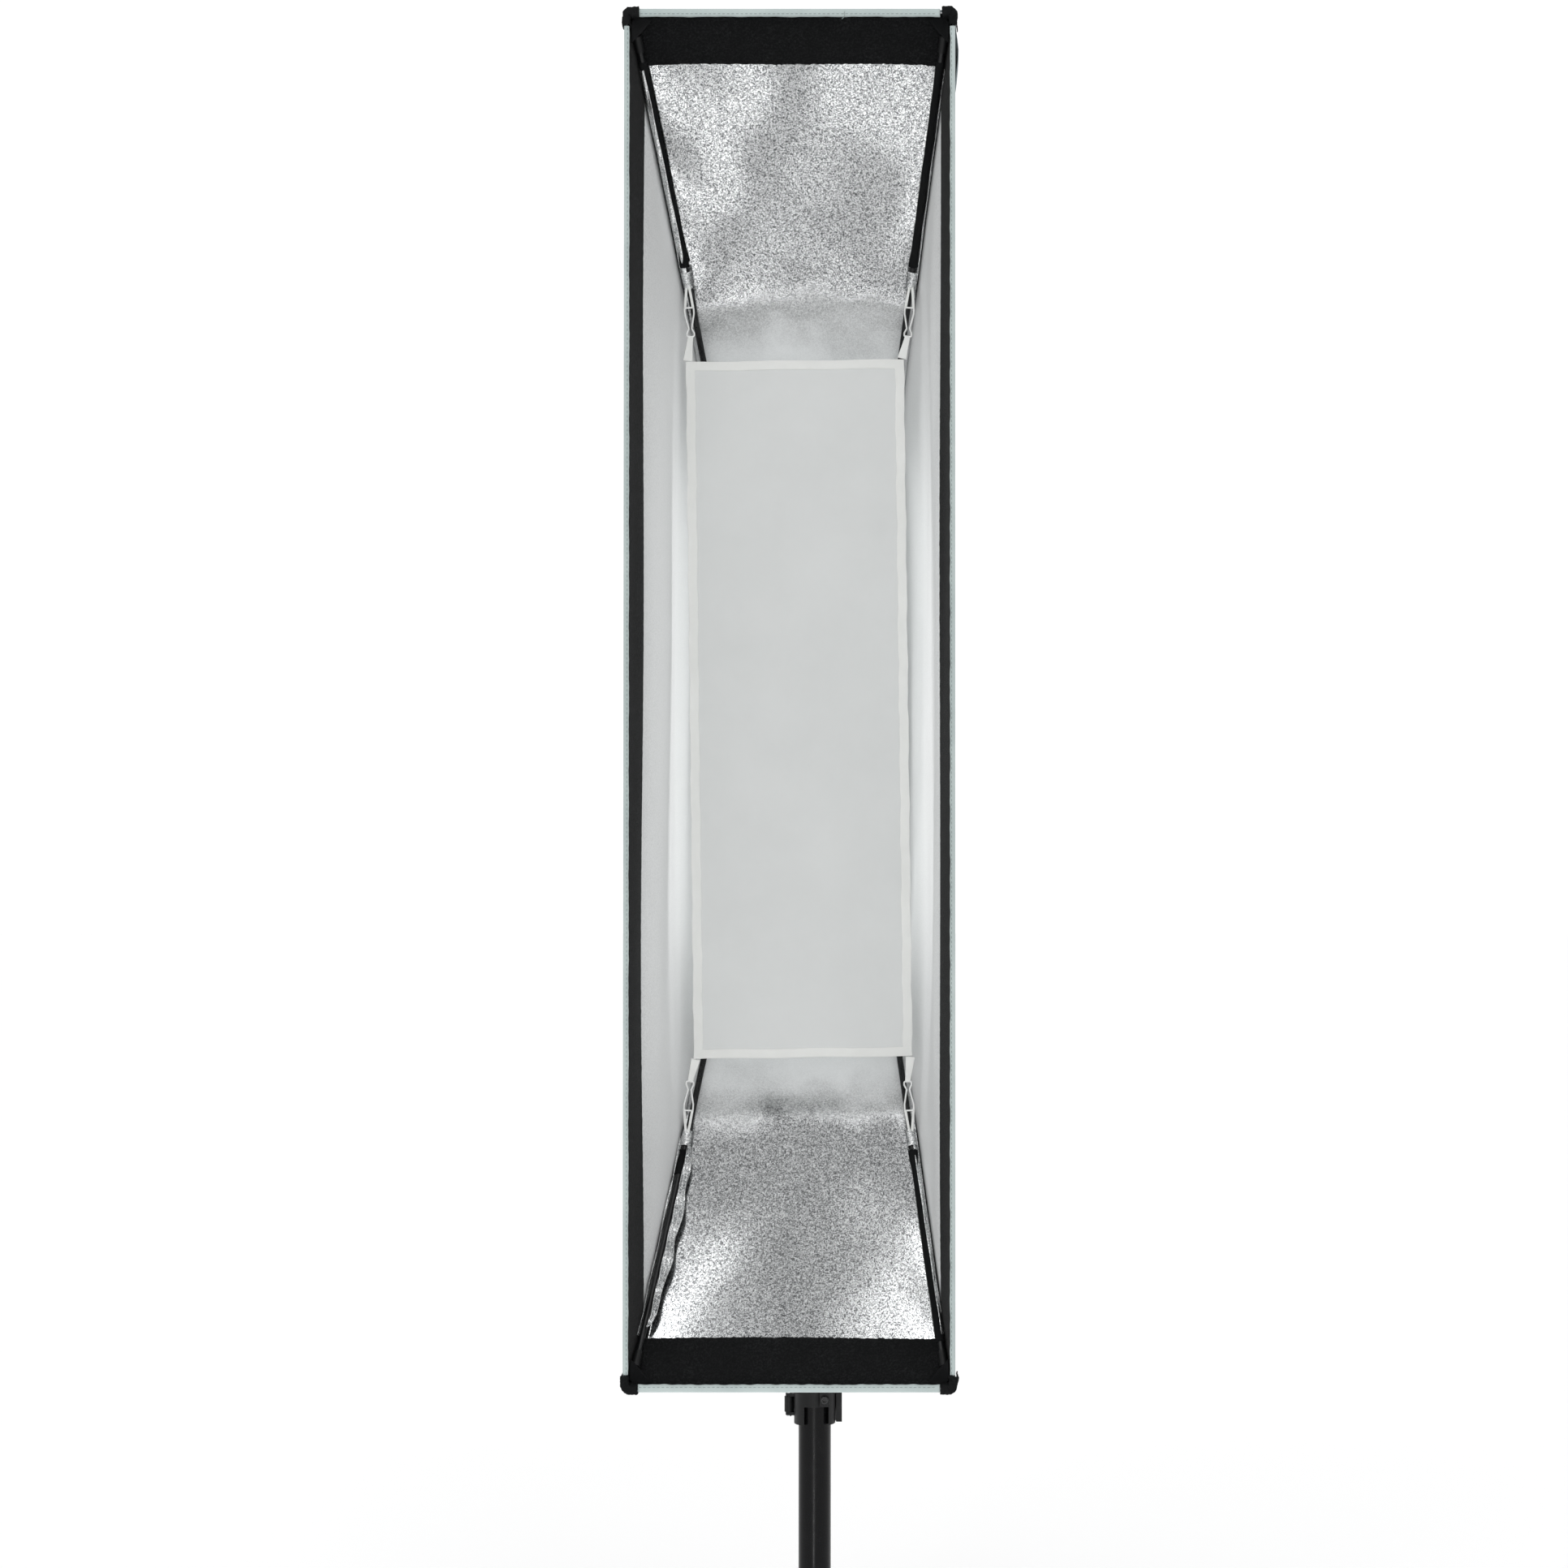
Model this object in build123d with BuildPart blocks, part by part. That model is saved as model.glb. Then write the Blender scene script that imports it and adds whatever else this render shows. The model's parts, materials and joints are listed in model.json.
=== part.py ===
"""A strip softbox on its stand column.

The box is a tall four-sided fabric funnel. Four spring rods run in its corner seams from a round
speedring to the corners of its mouth. A bracket behind the speedring tilts and pans on a telescoping
column. +Z is up, the mouth faces -Y, and the origin is the centre of the column's open foot.
"""

import os
from math import cos, pi

from build123d import *

os.makedirs("parts", exist_ok=True)

# ---------------------------------------------------------------- driving dimensions, in millimetres
MOUTH_WIDTH = 305.0
MOUTH_HEIGHT = 1272.0
BOX_CENTRE_Z = 1000.0
MOUTH_Y = -450.0
SHELL_REAR_Y = -88.0
SHELL_REAR_RADIUS = 92.0
ROD_RADIUS = 3.0
ROD_BOW = 20.0

OUTER_SKIN = 1.0
LINING_GAP = 0.3
LINING_THICKNESS = 0.6
BAND_THICKNESS = 1.4
BAND_WIDTH = 50.0
BAND_WIDTH_SIDES = 41.0
SEAM_GAP = 0.1

RIM_DEPTH = 4.4
RIM_GAP = 0.6
RIM_WIDTH_ENDS = 7.5
RIM_WIDTH_SIDES = 5.2
RIM_END_X = 14.0
RIM_END_Z = 16.0

POCKET_X = 26.0
POCKET_Z = 30.0
POCKET_WALL = 1.8
POCKET_DEPTH = 24.0
POCKET_FRONT = 5.4

DIFFUSER_WIDTH = 213.0
DIFFUSER_HEIGHT = 680.0
DIFFUSER_Y = -300.0
DIFFUSER_CLOTH = 0.8
BINDING_WIDTH = 9.0
BINDING_THICKNESS = 2.4

TAB_SHARE = 0.358
TAB_LENGTH = 15.0
SLEEVE_START = 0.035
SLEEVE_END = 0.338
FERRULE_LENGTH = 14.0
FERRULE_RADIUS = 4.2

RING_FRONT_Y = -90.0
RING_REAR_Y = -62.0
RING_RADIUS = 76.0
RING_BORE = 57.0
RING_RECESS = 62.0
RING_RECESS_Y = -76.0
TURN_CLEARANCE = 0.2
RETAINER_REAR_Y = -59.0
RETAINER_THICKNESS = 2.9
RETAINER_PITCH_RADIUS = 68.0
SMALL_SCREW_RADIUS = 1.5
LOCK_SCREW_RADIUS = 2.5
LOCK_SCREW_Y = -70.0
CUFF_REAR_Y = -80.0
LIGHT_PORT_RADIUS = 46.0
INSERT_REAR_Y = -42.0
SOCKET_RADIUS = 6.0
SOCKET_LENGTH = 22.0
SOCKET_FLOOR = 2.5
SOCKET_BOSS_RADIUS = 10.0

BRACKET_FRONT_Y = -56.0
BRACKET_REAR_Y = -30.0
BRACKET_RADIUS = 70.0
BRACKET_RECESS = 58.0
LUG_RADIUS = 56.0
LUG_ROOT_RADIUS = 51.8
LUG_THICKNESS = 3.6
LUG_FRONT_Y = -50.6
LATCH_Y = -45.2
LATCH_DEPTH = 10.4
LATCH_WIDTH = 12.0
LATCH_SHOULDER_X = 64.5
LATCH_STEM_RADIUS = 2.5

PIVOT_DROP = 112.0
PIVOT_BOLT_RADIUS = 5.0
RUNNING_CLEARANCE = 0.06
TONGUE_WIDTH = 14.0
CHEEK_GAP = 0.3
CHEEK_WIDTH = 9.0
CHEEK_RADIUS = 15.0
TONGUE_RADIUS = 17.0
ARM_Y = -42.0
ARM_DROP = 76.0
FLANGE_THICKNESS = 6.0
HANDLE_LENGTH = 54.0

LOWER_TUBE_RADIUS = 17.5
LOWER_TUBE_BORE = 15.9
UPPER_TUBE_RADIUS = 15.0
UPPER_TUBE_BORE = 13.6
UPPER_TUBE_BOTTOM_Z = 118.0
COLLAR_RADIUS = 22.3
COLLAR_TOP_Z = 290.0
COLLAR_BOTTOM_Z = 244.0
COLLAR_WINDOW_TOP_Z = 264.0
LOWER_TUBE_TOP_Z = 272.0
FOOT_RADIUS = 22.0
FOOT_HEIGHT = 46.0
FOOT_BORE_RADIUS = 14.35
FOOT_BORE_DEPTH = 50.0
SPIGOT_RADIUS = 8.0
SPIGOT_HEIGHT = 48.0
BUSH_BOTTOM_Z = 254.0
LEVER_PIN_X = -28.0
LEVER_PIN_Y = 4.0
LEVER_PIN_RADIUS = 2.0
LEVER_BOTTOM_Z = 255.0
LEVER_HEIGHT = 16.5

PIVOT_Z = BOX_CENTRE_Z - PIVOT_DROP
RECEIVER_BOTTOM_Z = PIVOT_Z - 98.0
RECEIVER_TOP_Z = PIVOT_Z - 30.0
RECEIVER_SCREW_Z = RECEIVER_BOTTOM_Z + 25.0
UPPER_TUBE_TOP_Z = RECEIVER_BOTTOM_Z - 12.0
FLANGE_TOP_Z = BOX_CENTRE_Z - ARM_DROP - 0.1
CHEEK_INNER_X = TONGUE_WIDTH / 2 + CHEEK_GAP
CHEEK_OUTER_X = CHEEK_INNER_X + CHEEK_WIDTH

# The box is drawn in planes across its own axis: local X is the row's X, local Y is up.
BOX = Plane(origin=(0, 0, BOX_CENTRE_Z), x_dir=(1, 0, 0), z_dir=(0, -1, 0))
MIRROR_LEFT = Plane.YZ
MIRROR_DOWN = Plane.XY.offset(BOX_CENTRE_Z)


def across(y):
    """The plane across the box's axis at that Y."""
    return BOX.offset(-y)


def sideways(x, y, z=BOX_CENTRE_Z):
    """The plane that faces +X at that point, with its local X along the row's Y."""
    return Plane(origin=(x, y, z), x_dir=(0, 1, 0), z_dir=(1, 0, 0))


def save(piece, name):
    """Labels a finished piece and writes it as its own STEP file."""
    piece.label = name
    export_step(piece, f"parts/{name}.step")


# ---------------------------------------------------------------- the lines that the box is built on
def bowed(front, rear):
    """A shallow arc from front to rear that bows up and back, as a sprung rod does."""
    chord = rear - front
    outward = Vector(0, -chord.Z, chord.Y).normalized()
    middle = (front + rear) * 0.5 + outward * ROD_BOW
    return Edge.make_three_point_arc(front, middle, rear)


HALF_WIDTH = MOUTH_WIDTH / 2
HALF_HEIGHT = MOUTH_HEIGHT / 2
REAR_CORNER = SHELL_REAR_RADIUS * cos(pi / 4)
SEAM = bowed(Vector(HALF_WIDTH, MOUTH_Y, HALF_HEIGHT), Vector(REAR_CORNER, SHELL_REAR_Y, REAR_CORNER))
ROD_TIP = Vector(HALF_WIDTH - 10.5, MOUTH_Y + 8.0, HALF_HEIGHT - 23.0)
ROD_END = Vector(51.0, RING_FRONT_Y + 6.0, 45.0)
ROD_LINE = bowed(ROD_TIP, ROD_END)
UP_TO_BOX = Vector(0, 0, BOX_CENTRE_Z)


def rod_stretch(start, end):
    """The part of the rod's arc between two shares of its length, in the row frame."""
    points = [ROD_LINE.position_at(start + (end - start) * k / 2) + UP_TO_BOX for k in range(3)]
    return ThreePointArc(*points)


def rod_plane(share):
    """The plane across the rod at a share of its length, in the row frame."""
    return Plane(origin=ROD_LINE.position_at(share) + UP_TO_BOX, z_dir=ROD_LINE.tangent_at(share))


# ---------------------------------------------------------------- fabric walls
def wall_strip(share, outside, inside, turned):
    """The cross-section of one wall where the seam is at that share of its length.

    The wall crowns from straight at the mouth to a quarter circle at the speedring. outside and
    inside are its two faces' distances in from the seam; turned gives a side wall, not the top.
    """
    seam = SEAM.position_at(share)
    crown = (SHELL_REAR_RADIUS - REAR_CORNER) * share**1.5 - 0.6 * (1 - share)
    reach, height = (seam.Z, seam.X) if turned else (seam.X, seam.Z)
    quarter_turn = -90 if turned else 0
    outer_end = (reach - outside - SEAM_GAP, height - outside)
    inner_end = (reach - inside - SEAM_GAP, height - inside)
    with BuildSketch(across(seam.Y)) as strip:
        with BuildLine(Plane.XY.rotated((0, 0, quarter_turn))):
            ThreePointArc((-outer_end[0], outer_end[1]), (0, outer_end[1] + crown), outer_end)
            Line(outer_end, inner_end)
            ThreePointArc(inner_end, (0, inner_end[1] + crown), (-inner_end[0], inner_end[1]))
            Line((-inner_end[0], inner_end[1]), (-outer_end[0], outer_end[1]))
        make_face()
    return strip.sketch


def wall(shares, outside, inside, turned):
    """One thin wall, lofted through its cross-sections."""
    with BuildPart() as made:
        loft([wall_strip(share, outside, inside, turned) for share in shares])
    return made.part


def save_walls(prefix, shares, side_shares, outside, inside):
    """The same layer on all four sides: top and bottom by shares, right and left by side_shares."""
    top = wall(shares, outside, inside, turned=False)
    right = wall(side_shares, outside, inside, turned=True)
    save(top, f"{prefix}_top")
    save(right, f"{prefix}_right")
    with BuildPart() as bottom:
        mirror(top, about=MIRROR_DOWN)
    save(bottom.part, f"{prefix}_bottom")
    with BuildPart() as left:
        mirror(right, about=MIRROR_LEFT)
    save(left.part, f"{prefix}_left")


WALL_SHARES = (0, 0.25, 0.5, 0.75, 1)
BAND_SHARE = BAND_WIDTH / SEAM.length
SIDE_SLOPE = Vector(HALF_WIDTH - REAR_CORNER, SHELL_REAR_Y - MOUTH_Y, 0).length
BAND_SHARE_SIDES = BAND_WIDTH_SIDES / SIDE_SLOPE
LINING_OUTSIDE = OUTER_SKIN + LINING_GAP
LINING_INSIDE = LINING_OUTSIDE + LINING_THICKNESS
BAND_OUTSIDE = LINING_INSIDE + LINING_GAP
BAND_INSIDE = BAND_OUTSIDE + BAND_THICKNESS

save_walls("shell", WALL_SHARES, WALL_SHARES, 0, OUTER_SKIN)
save_walls("lining", WALL_SHARES, WALL_SHARES, LINING_OUTSIDE, LINING_INSIDE)
save_walls(
    "loop_band",
    (0, BAND_SHARE / 2, BAND_SHARE),
    (0, BAND_SHARE_SIDES / 2, BAND_SHARE_SIDES),
    BAND_OUTSIDE,
    BAND_INSIDE,
)

# ---------------------------------------------------------------- binding round the mouth
RIM_PLANE = across(MOUTH_Y - RIM_GAP)
with BuildPart() as rim_top:
    with BuildSketch(RIM_PLANE):
        with Locations((0, HALF_HEIGHT - RIM_WIDTH_ENDS / 2)):
            Rectangle(MOUTH_WIDTH - 2 * RIM_END_X, RIM_WIDTH_ENDS)
    extrude(amount=RIM_DEPTH)
    fillet(rim_top.faces().sort_by(Axis.Y)[0].edges().filter_by(Axis.X), 1.5)
save(rim_top.part, "rim_binding_top")

with BuildPart() as rim_bottom:
    mirror(rim_top.part, about=MIRROR_DOWN)
save(rim_bottom.part, "rim_binding_bottom")

with BuildPart() as rim_right:
    with BuildSketch(RIM_PLANE):
        with Locations((HALF_WIDTH - RIM_WIDTH_SIDES / 2, 0)):
            Rectangle(RIM_WIDTH_SIDES, MOUTH_HEIGHT - 2 * RIM_END_Z)
    extrude(amount=RIM_DEPTH)
    fillet(rim_right.faces().sort_by(Axis.Y)[0].edges().filter_by(Axis.Z), 1.5)
save(rim_right.part, "rim_binding_right")

with BuildPart() as rim_left:
    mirror(rim_right.part, about=MIRROR_LEFT)
save(rim_left.part, "rim_binding_left")

# ---------------------------------------------------------------- corner pockets, open to the inside
CORNERS = {
    "top_right": (1, 1),
    "top_left": (-1, 1),
    "bottom_right": (1, -1),
    "bottom_left": (-1, -1),
}


def four_corners(piece):
    """The piece at the top right corner, mirrored to each of the four corners by name."""
    made = {}
    for name, (side, up) in CORNERS.items():
        copy = piece
        if side < 0:
            copy = copy.mirror(MIRROR_LEFT)
        if up < 0:
            copy = copy.mirror(MIRROR_DOWN)
        made[name] = copy
    return made


def save_group(piece, name):
    """One node with the piece at all four corners."""
    with BuildPart() as group:
        add(list(four_corners(piece).values()))
    save(group.part, name)


# The pocket caps the corner over the binding's cut ends, and inside the binding its lining reaches on.
POCKET_SLACK = 0.4
POCKET_GAP = 0.3
POCKET_PROUD = POCKET_SLACK + POCKET_WALL
POCKET_REAR = across(MOUTH_Y - RIM_GAP - POCKET_FRONT + POCKET_DEPTH)
with BuildPart() as pocket:
    width = POCKET_X + POCKET_PROUD - SEAM_GAP
    height = POCKET_Z + POCKET_PROUD - SEAM_GAP
    with BuildSketch(POCKET_REAR):
        with Locations((HALF_WIDTH + POCKET_PROUD, HALF_HEIGHT + POCKET_PROUD)):
            Rectangle(width, height, align=(Align.MAX, Align.MAX))
    extrude(amount=POCKET_DEPTH)
    outer_edge = pocket.edges().filter_by(Axis.Y).sort_by(Axis.X)[-2:].sort_by(Axis.Z)[-1]
    fillet(outer_edge, 5.0)
    with BuildSketch(POCKET_REAR):
        with Locations((HALF_WIDTH + POCKET_SLACK, HALF_HEIGHT + POCKET_SLACK)):
            Rectangle(2 * POCKET_X, 2 * POCKET_Z, align=(Align.MAX, Align.MAX))
    extrude(amount=POCKET_DEPTH - POCKET_FRONT, mode=Mode.SUBTRACT)
    with BuildSketch(POCKET_REAR):
        with Locations((HALF_WIDTH - RIM_END_X + POCKET_GAP, HALF_HEIGHT - RIM_WIDTH_ENDS - POCKET_GAP)):
            Rectangle(2 * POCKET_X, 2 * POCKET_Z, align=(Align.MAX, Align.MIN))
        with Locations((HALF_WIDTH - RIM_WIDTH_SIDES - POCKET_GAP, HALF_HEIGHT - RIM_END_Z + POCKET_GAP)):
            Rectangle(2 * POCKET_X, 2 * POCKET_Z, align=(Align.MIN, Align.MAX))
    extrude(amount=POCKET_DEPTH, mode=Mode.SUBTRACT)
for corner, piece in four_corners(pocket.part).items():
    save(piece, f"corner_pocket_{corner}")

# ---------------------------------------------------------------- spring rods and what is on them
SLEEVE_BORE = ROD_RADIUS + 0.1
SLEEVE_RADIUS = 4.3
TAB_RADIUS = 4.6

with BuildPart() as rod:
    with BuildLine() as rod_path:
        rod_stretch(0, 1)
    with BuildSketch(rod_plane(0)):
        Circle(ROD_RADIUS)
    sweep(path=rod_path.wires()[0])
for corner, piece in four_corners(rod.part).items():
    save(piece, f"rod_{corner}")


def tube_on_rod(start, end, outer):
    """A tube round the rod between two shares of its length."""
    with BuildPart() as made:
        with BuildLine() as path:
            rod_stretch(start, end)
        with BuildSketch(rod_plane(start)):
            Circle(outer)
            Circle(SLEEVE_BORE, mode=Mode.SUBTRACT)
        sweep(path=path.wires()[0])
    return made.part


save_group(tube_on_rod(SLEEVE_START, SLEEVE_END, SLEEVE_RADIUS), "rod_sleeves")

with BuildPart() as ferrule:
    with BuildSketch(rod_plane(0)):
        Circle(FERRULE_RADIUS)
    extrude(amount=-1.6)
    with BuildSketch(rod_plane(0)):
        Circle(FERRULE_RADIUS)
        Circle(SLEEVE_BORE, mode=Mode.SUBTRACT)
    extrude(amount=FERRULE_LENGTH)
save_group(ferrule.part, "rod_ferrules")

TAB_HALF_SHARE = TAB_LENGTH / 2 / ROD_LINE.length
save_group(tube_on_rod(TAB_SHARE - TAB_HALF_SHARE, TAB_SHARE + TAB_HALF_SHARE, TAB_RADIUS), "anchor_tabs")

# ---------------------------------------------------------------- inner diffuser and its four ties
TAB_POINT = ROD_LINE.position_at(TAB_SHARE) + UP_TO_BOX
DIFFUSER_CORNER = Vector(DIFFUSER_WIDTH / 2 - 2, DIFFUSER_Y, DIFFUSER_HEIGHT / 2 + 0.6) + UP_TO_BOX
TIE_RUN = DIFFUSER_CORNER - TAB_POINT
# Local X runs along the tie from the tab to the diffuser; local Y lies across it, in the mouth's plane.
TIE = Plane(origin=TAB_POINT, x_dir=TIE_RUN, z_dir=TIE_RUN.cross(Vector(-1, 0, 0)))
RIBBON_LENGTH = 22.0
HOOK_LENGTH = 30.0
HOOK_START = TIE_RUN.length - HOOK_LENGTH - RIBBON_LENGTH
HOOK_WIRE_RADIUS = 0.8
HOOK_HALF_WIDTH = 4.4
HOOK_WAIST = 1.4
ELASTIC_START = TAB_RADIUS + 0.8
TIE_GAP = 0.8


def tie_strip(start, end, width, thickness):
    """A flat strip along the tie, between two distances from the tab."""
    with BuildPart() as made:
        with BuildSketch(TIE.offset(-thickness / 2)):
            with Locations(((start + end) / 2, 0)):
                Rectangle(end - start, width)
        extrude(amount=thickness)
    return made.part


save_group(tie_strip(ELASTIC_START, HOOK_START - TIE_GAP, 6.0, 1.4), "tie_elastics")
ribbon = tie_strip(HOOK_START + HOOK_LENGTH + TIE_GAP, TIE_RUN.length - TIE_GAP, 7.0, 1.0)
save_group(ribbon, "tie_ribbons")

with BuildPart() as hook:
    with BuildLine(TIE) as hook_path:
        first = HOOK_START + HOOK_WIRE_RADIUS
        long = HOOK_LENGTH - 2 * HOOK_WIRE_RADIUS
        one_side = [
            (first, HOOK_HALF_WIDTH),
            (first + 0.22 * long, HOOK_HALF_WIDTH),
            (first + 0.72 * long, HOOK_WAIST),
            (first + 0.88 * long, 0.8 * HOOK_HALF_WIDTH),
            (first + long, 0.8 * HOOK_HALF_WIDTH),
        ]
        other_side = [(x, -y) for x, y in reversed(one_side)]
        FilletPolyline(*one_side, *other_side, radius=1.5, close=True)
    outline = hook_path.wires()[0]
    with BuildSketch(Plane(origin=outline @ 0, z_dir=outline % 0)):
        Circle(HOOK_WIRE_RADIUS)
    sweep(path=outline)
save_group(hook.part, "tie_hooks")

with BuildPart() as diffuser:
    with BuildSketch(across(DIFFUSER_Y + DIFFUSER_CLOTH / 2)):
        Rectangle(
            DIFFUSER_WIDTH - 2 * BINDING_WIDTH - SEAM_GAP,
            DIFFUSER_HEIGHT - 2 * BINDING_WIDTH - SEAM_GAP,
        )
    extrude(amount=DIFFUSER_CLOTH)
save(diffuser.part, "inner_diffuser")

with BuildPart() as diffuser_binding:
    with BuildSketch(across(DIFFUSER_Y + BINDING_THICKNESS / 2)):
        Rectangle(DIFFUSER_WIDTH, DIFFUSER_HEIGHT)
        Rectangle(DIFFUSER_WIDTH - 2 * BINDING_WIDTH, DIFFUSER_HEIGHT - 2 * BINDING_WIDTH, mode=Mode.SUBTRACT)
    extrude(amount=BINDING_THICKNESS)
save(diffuser_binding.part, "diffuser_binding")

# ---------------------------------------------------------------- speedring
with BuildPart() as socket_plug:
    with BuildSketch(rod_plane(1)):
        Circle(SOCKET_RADIUS)
    extrude(amount=-SOCKET_LENGTH)
    with BuildSketch(rod_plane(1)):
        Circle(SOCKET_RADIUS)
    extrude(amount=SOCKET_FLOOR)

with BuildPart() as rod_socket:
    add(socket_plug.part)
    with BuildLine() as socket_bore:
        rod_stretch(0.9, 1)
    with BuildSketch(rod_plane(0.9)):
        Circle(SLEEVE_BORE)
    sweep(path=socket_bore.wires()[0], mode=Mode.SUBTRACT)
save_group(rod_socket.part, "rod_sockets")

with BuildPart() as socket_boss:
    with BuildSketch(rod_plane(1)):
        Circle(SOCKET_BOSS_RADIUS)
    extrude(amount=-14)
    with BuildSketch(rod_plane(1)):
        Circle(SOCKET_BOSS_RADIUS)
    extrude(amount=4.5)

RING_SCREWS = PolarLocations(RETAINER_PITCH_RADIUS, 4, start_angle=45)
with BuildPart() as speedring_body:
    with BuildSketch(across(RING_REAR_Y)):
        Circle(RING_RADIUS)
    extrude(amount=RING_REAR_Y - RING_FRONT_Y)
    chamfer(speedring_body.edges().filter_by(GeomType.CIRCLE), 1.2)
    add(list(four_corners(socket_boss.part).values()))
    with BuildSketch(across(0)):
        Circle(RING_BORE)
    extrude(amount=150, mode=Mode.SUBTRACT)
    with BuildSketch(across(0)):
        Circle(RING_RECESS)
    extrude(amount=-RING_RECESS_Y, mode=Mode.SUBTRACT)
    add(list(four_corners(socket_plug.part).values()), mode=Mode.SUBTRACT)
    with BuildSketch(across(RING_REAR_Y)):
        with RING_SCREWS:
            Circle(SMALL_SCREW_RADIUS)
    extrude(amount=8, mode=Mode.SUBTRACT)
    with BuildSketch(sideways(RING_RECESS - 1, LOCK_SCREW_Y)):
        Circle(LOCK_SCREW_RADIUS + RUNNING_CLEARANCE)
    extrude(amount=20, mode=Mode.SUBTRACT)
save(speedring_body.part, "speedring_body")

with BuildPart() as retainer:
    with BuildSketch(across(RETAINER_REAR_Y)):
        Circle(RING_RADIUS - 2)
        Circle(RING_BORE + 0.4, mode=Mode.SUBTRACT)
        with RING_SCREWS:
            Circle(SMALL_SCREW_RADIUS + 0.2, mode=Mode.SUBTRACT)
    extrude(amount=RETAINER_THICKNESS)
save(retainer.part, "speedring_retainer")

with BuildPart() as retainer_screws:
    with BuildSketch(across(RETAINER_REAR_Y + 1.8)):
        with RING_SCREWS:
            Circle(3.0)
    extrude(amount=1.75)
    fillet(retainer_screws.faces().sort_by(Axis.Y)[-1].edges(), 0.6)
    with BuildSketch(across(RETAINER_REAR_Y + 1)):
        with RING_SCREWS:
            Circle(SMALL_SCREW_RADIUS)
    extrude(amount=1 + RETAINER_THICKNESS + 6)
    with BuildSketch(across(RETAINER_REAR_Y + 1.8)):
        with RING_SCREWS:
            Rectangle(3.2, 0.7)
            Rectangle(0.7, 3.2)
    extrude(amount=0.9, mode=Mode.SUBTRACT)
save(retainer_screws.part, "retainer_screws")

# The insert is a stepped drum: its fat middle turns in the speedring's recess, and its lugs lock
# into the bracket.
with BuildPart() as insert:
    for rear, front, radius in (
        (BRACKET_FRONT_Y - 0.2, RING_FRONT_Y + 4, RING_BORE - TURN_CLEARANCE),
        (RING_REAR_Y - 0.2, RING_RECESS_Y + TURN_CLEARANCE, RING_RECESS - TURN_CLEARANCE),
        (INSERT_REAR_Y, BRACKET_FRONT_Y - 0.2, LUG_ROOT_RADIUS),
    ):
        with BuildSketch(across(rear)):
            Circle(radius)
        extrude(amount=rear - front)
    with BuildSketch(across(LUG_FRONT_Y + LUG_THICKNESS)):
        for angle in (0, 120, 240):
            with BuildLine():
                PolarLine((0, 0), LUG_RADIUS, angle - 19)
                PolarLine((0, 0), LUG_RADIUS, angle + 19)
                CenterArc((0, 0), LUG_RADIUS, angle - 19, 38)
            make_face()
    extrude(amount=LUG_THICKNESS)
    with BuildSketch(sideways(LUG_RADIUS - 3.2, LUG_FRONT_Y + LUG_THICKNESS / 2)):
        Rectangle(LUG_THICKNESS + 1, 7.8)
    extrude(amount=5, mode=Mode.SUBTRACT)
    with BuildSketch(across(0)):
        Circle(LIGHT_PORT_RADIUS)
    extrude(amount=150, mode=Mode.SUBTRACT)
    fillet(insert.edges().filter_by(GeomType.CIRCLE).sort_by(Axis.Y)[0], 1.0)
save(insert.part, "speedring_insert")

with BuildPart() as lock_knob:
    with BuildSketch(sideways(RING_RECESS + 0.4, LOCK_SCREW_Y)):
        Circle(LOCK_SCREW_RADIUS)
    extrude(amount=24)
    with BuildSketch(sideways(RING_RADIUS + 8, LOCK_SCREW_Y)):
        Circle(7.6)
        with PolarLocations(8.4, 10):
            Circle(1.7, mode=Mode.SUBTRACT)
    extrude(amount=15)
    with BuildSketch(sideways(RING_RADIUS + 4, LOCK_SCREW_Y)):
        Circle(5)
    extrude(amount=4)
    fillet(lock_knob.faces().sort_by(Axis.X)[-1].edges(), 0.8)
save(lock_knob.part, "ring_lock_knob")

with BuildPart() as cuff:
    with BuildSketch(Plane.XY.offset(BOX_CENTRE_Z)):
        with BuildLine():
            Polyline(
                (SHELL_REAR_RADIUS - 1.4, SHELL_REAR_Y + 0.2),
                (SHELL_REAR_RADIUS, SHELL_REAR_Y + 0.2),
                (SHELL_REAR_RADIUS - 4.6, CUFF_REAR_Y),
                (SHELL_REAR_RADIUS - 6.0, CUFF_REAR_Y),
                close=True,
            )
        make_face()
    revolve(axis=Axis((0, 0, BOX_CENTRE_Z), (0, 1, 0)))
save(cuff.part, "rear_cuff")

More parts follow.
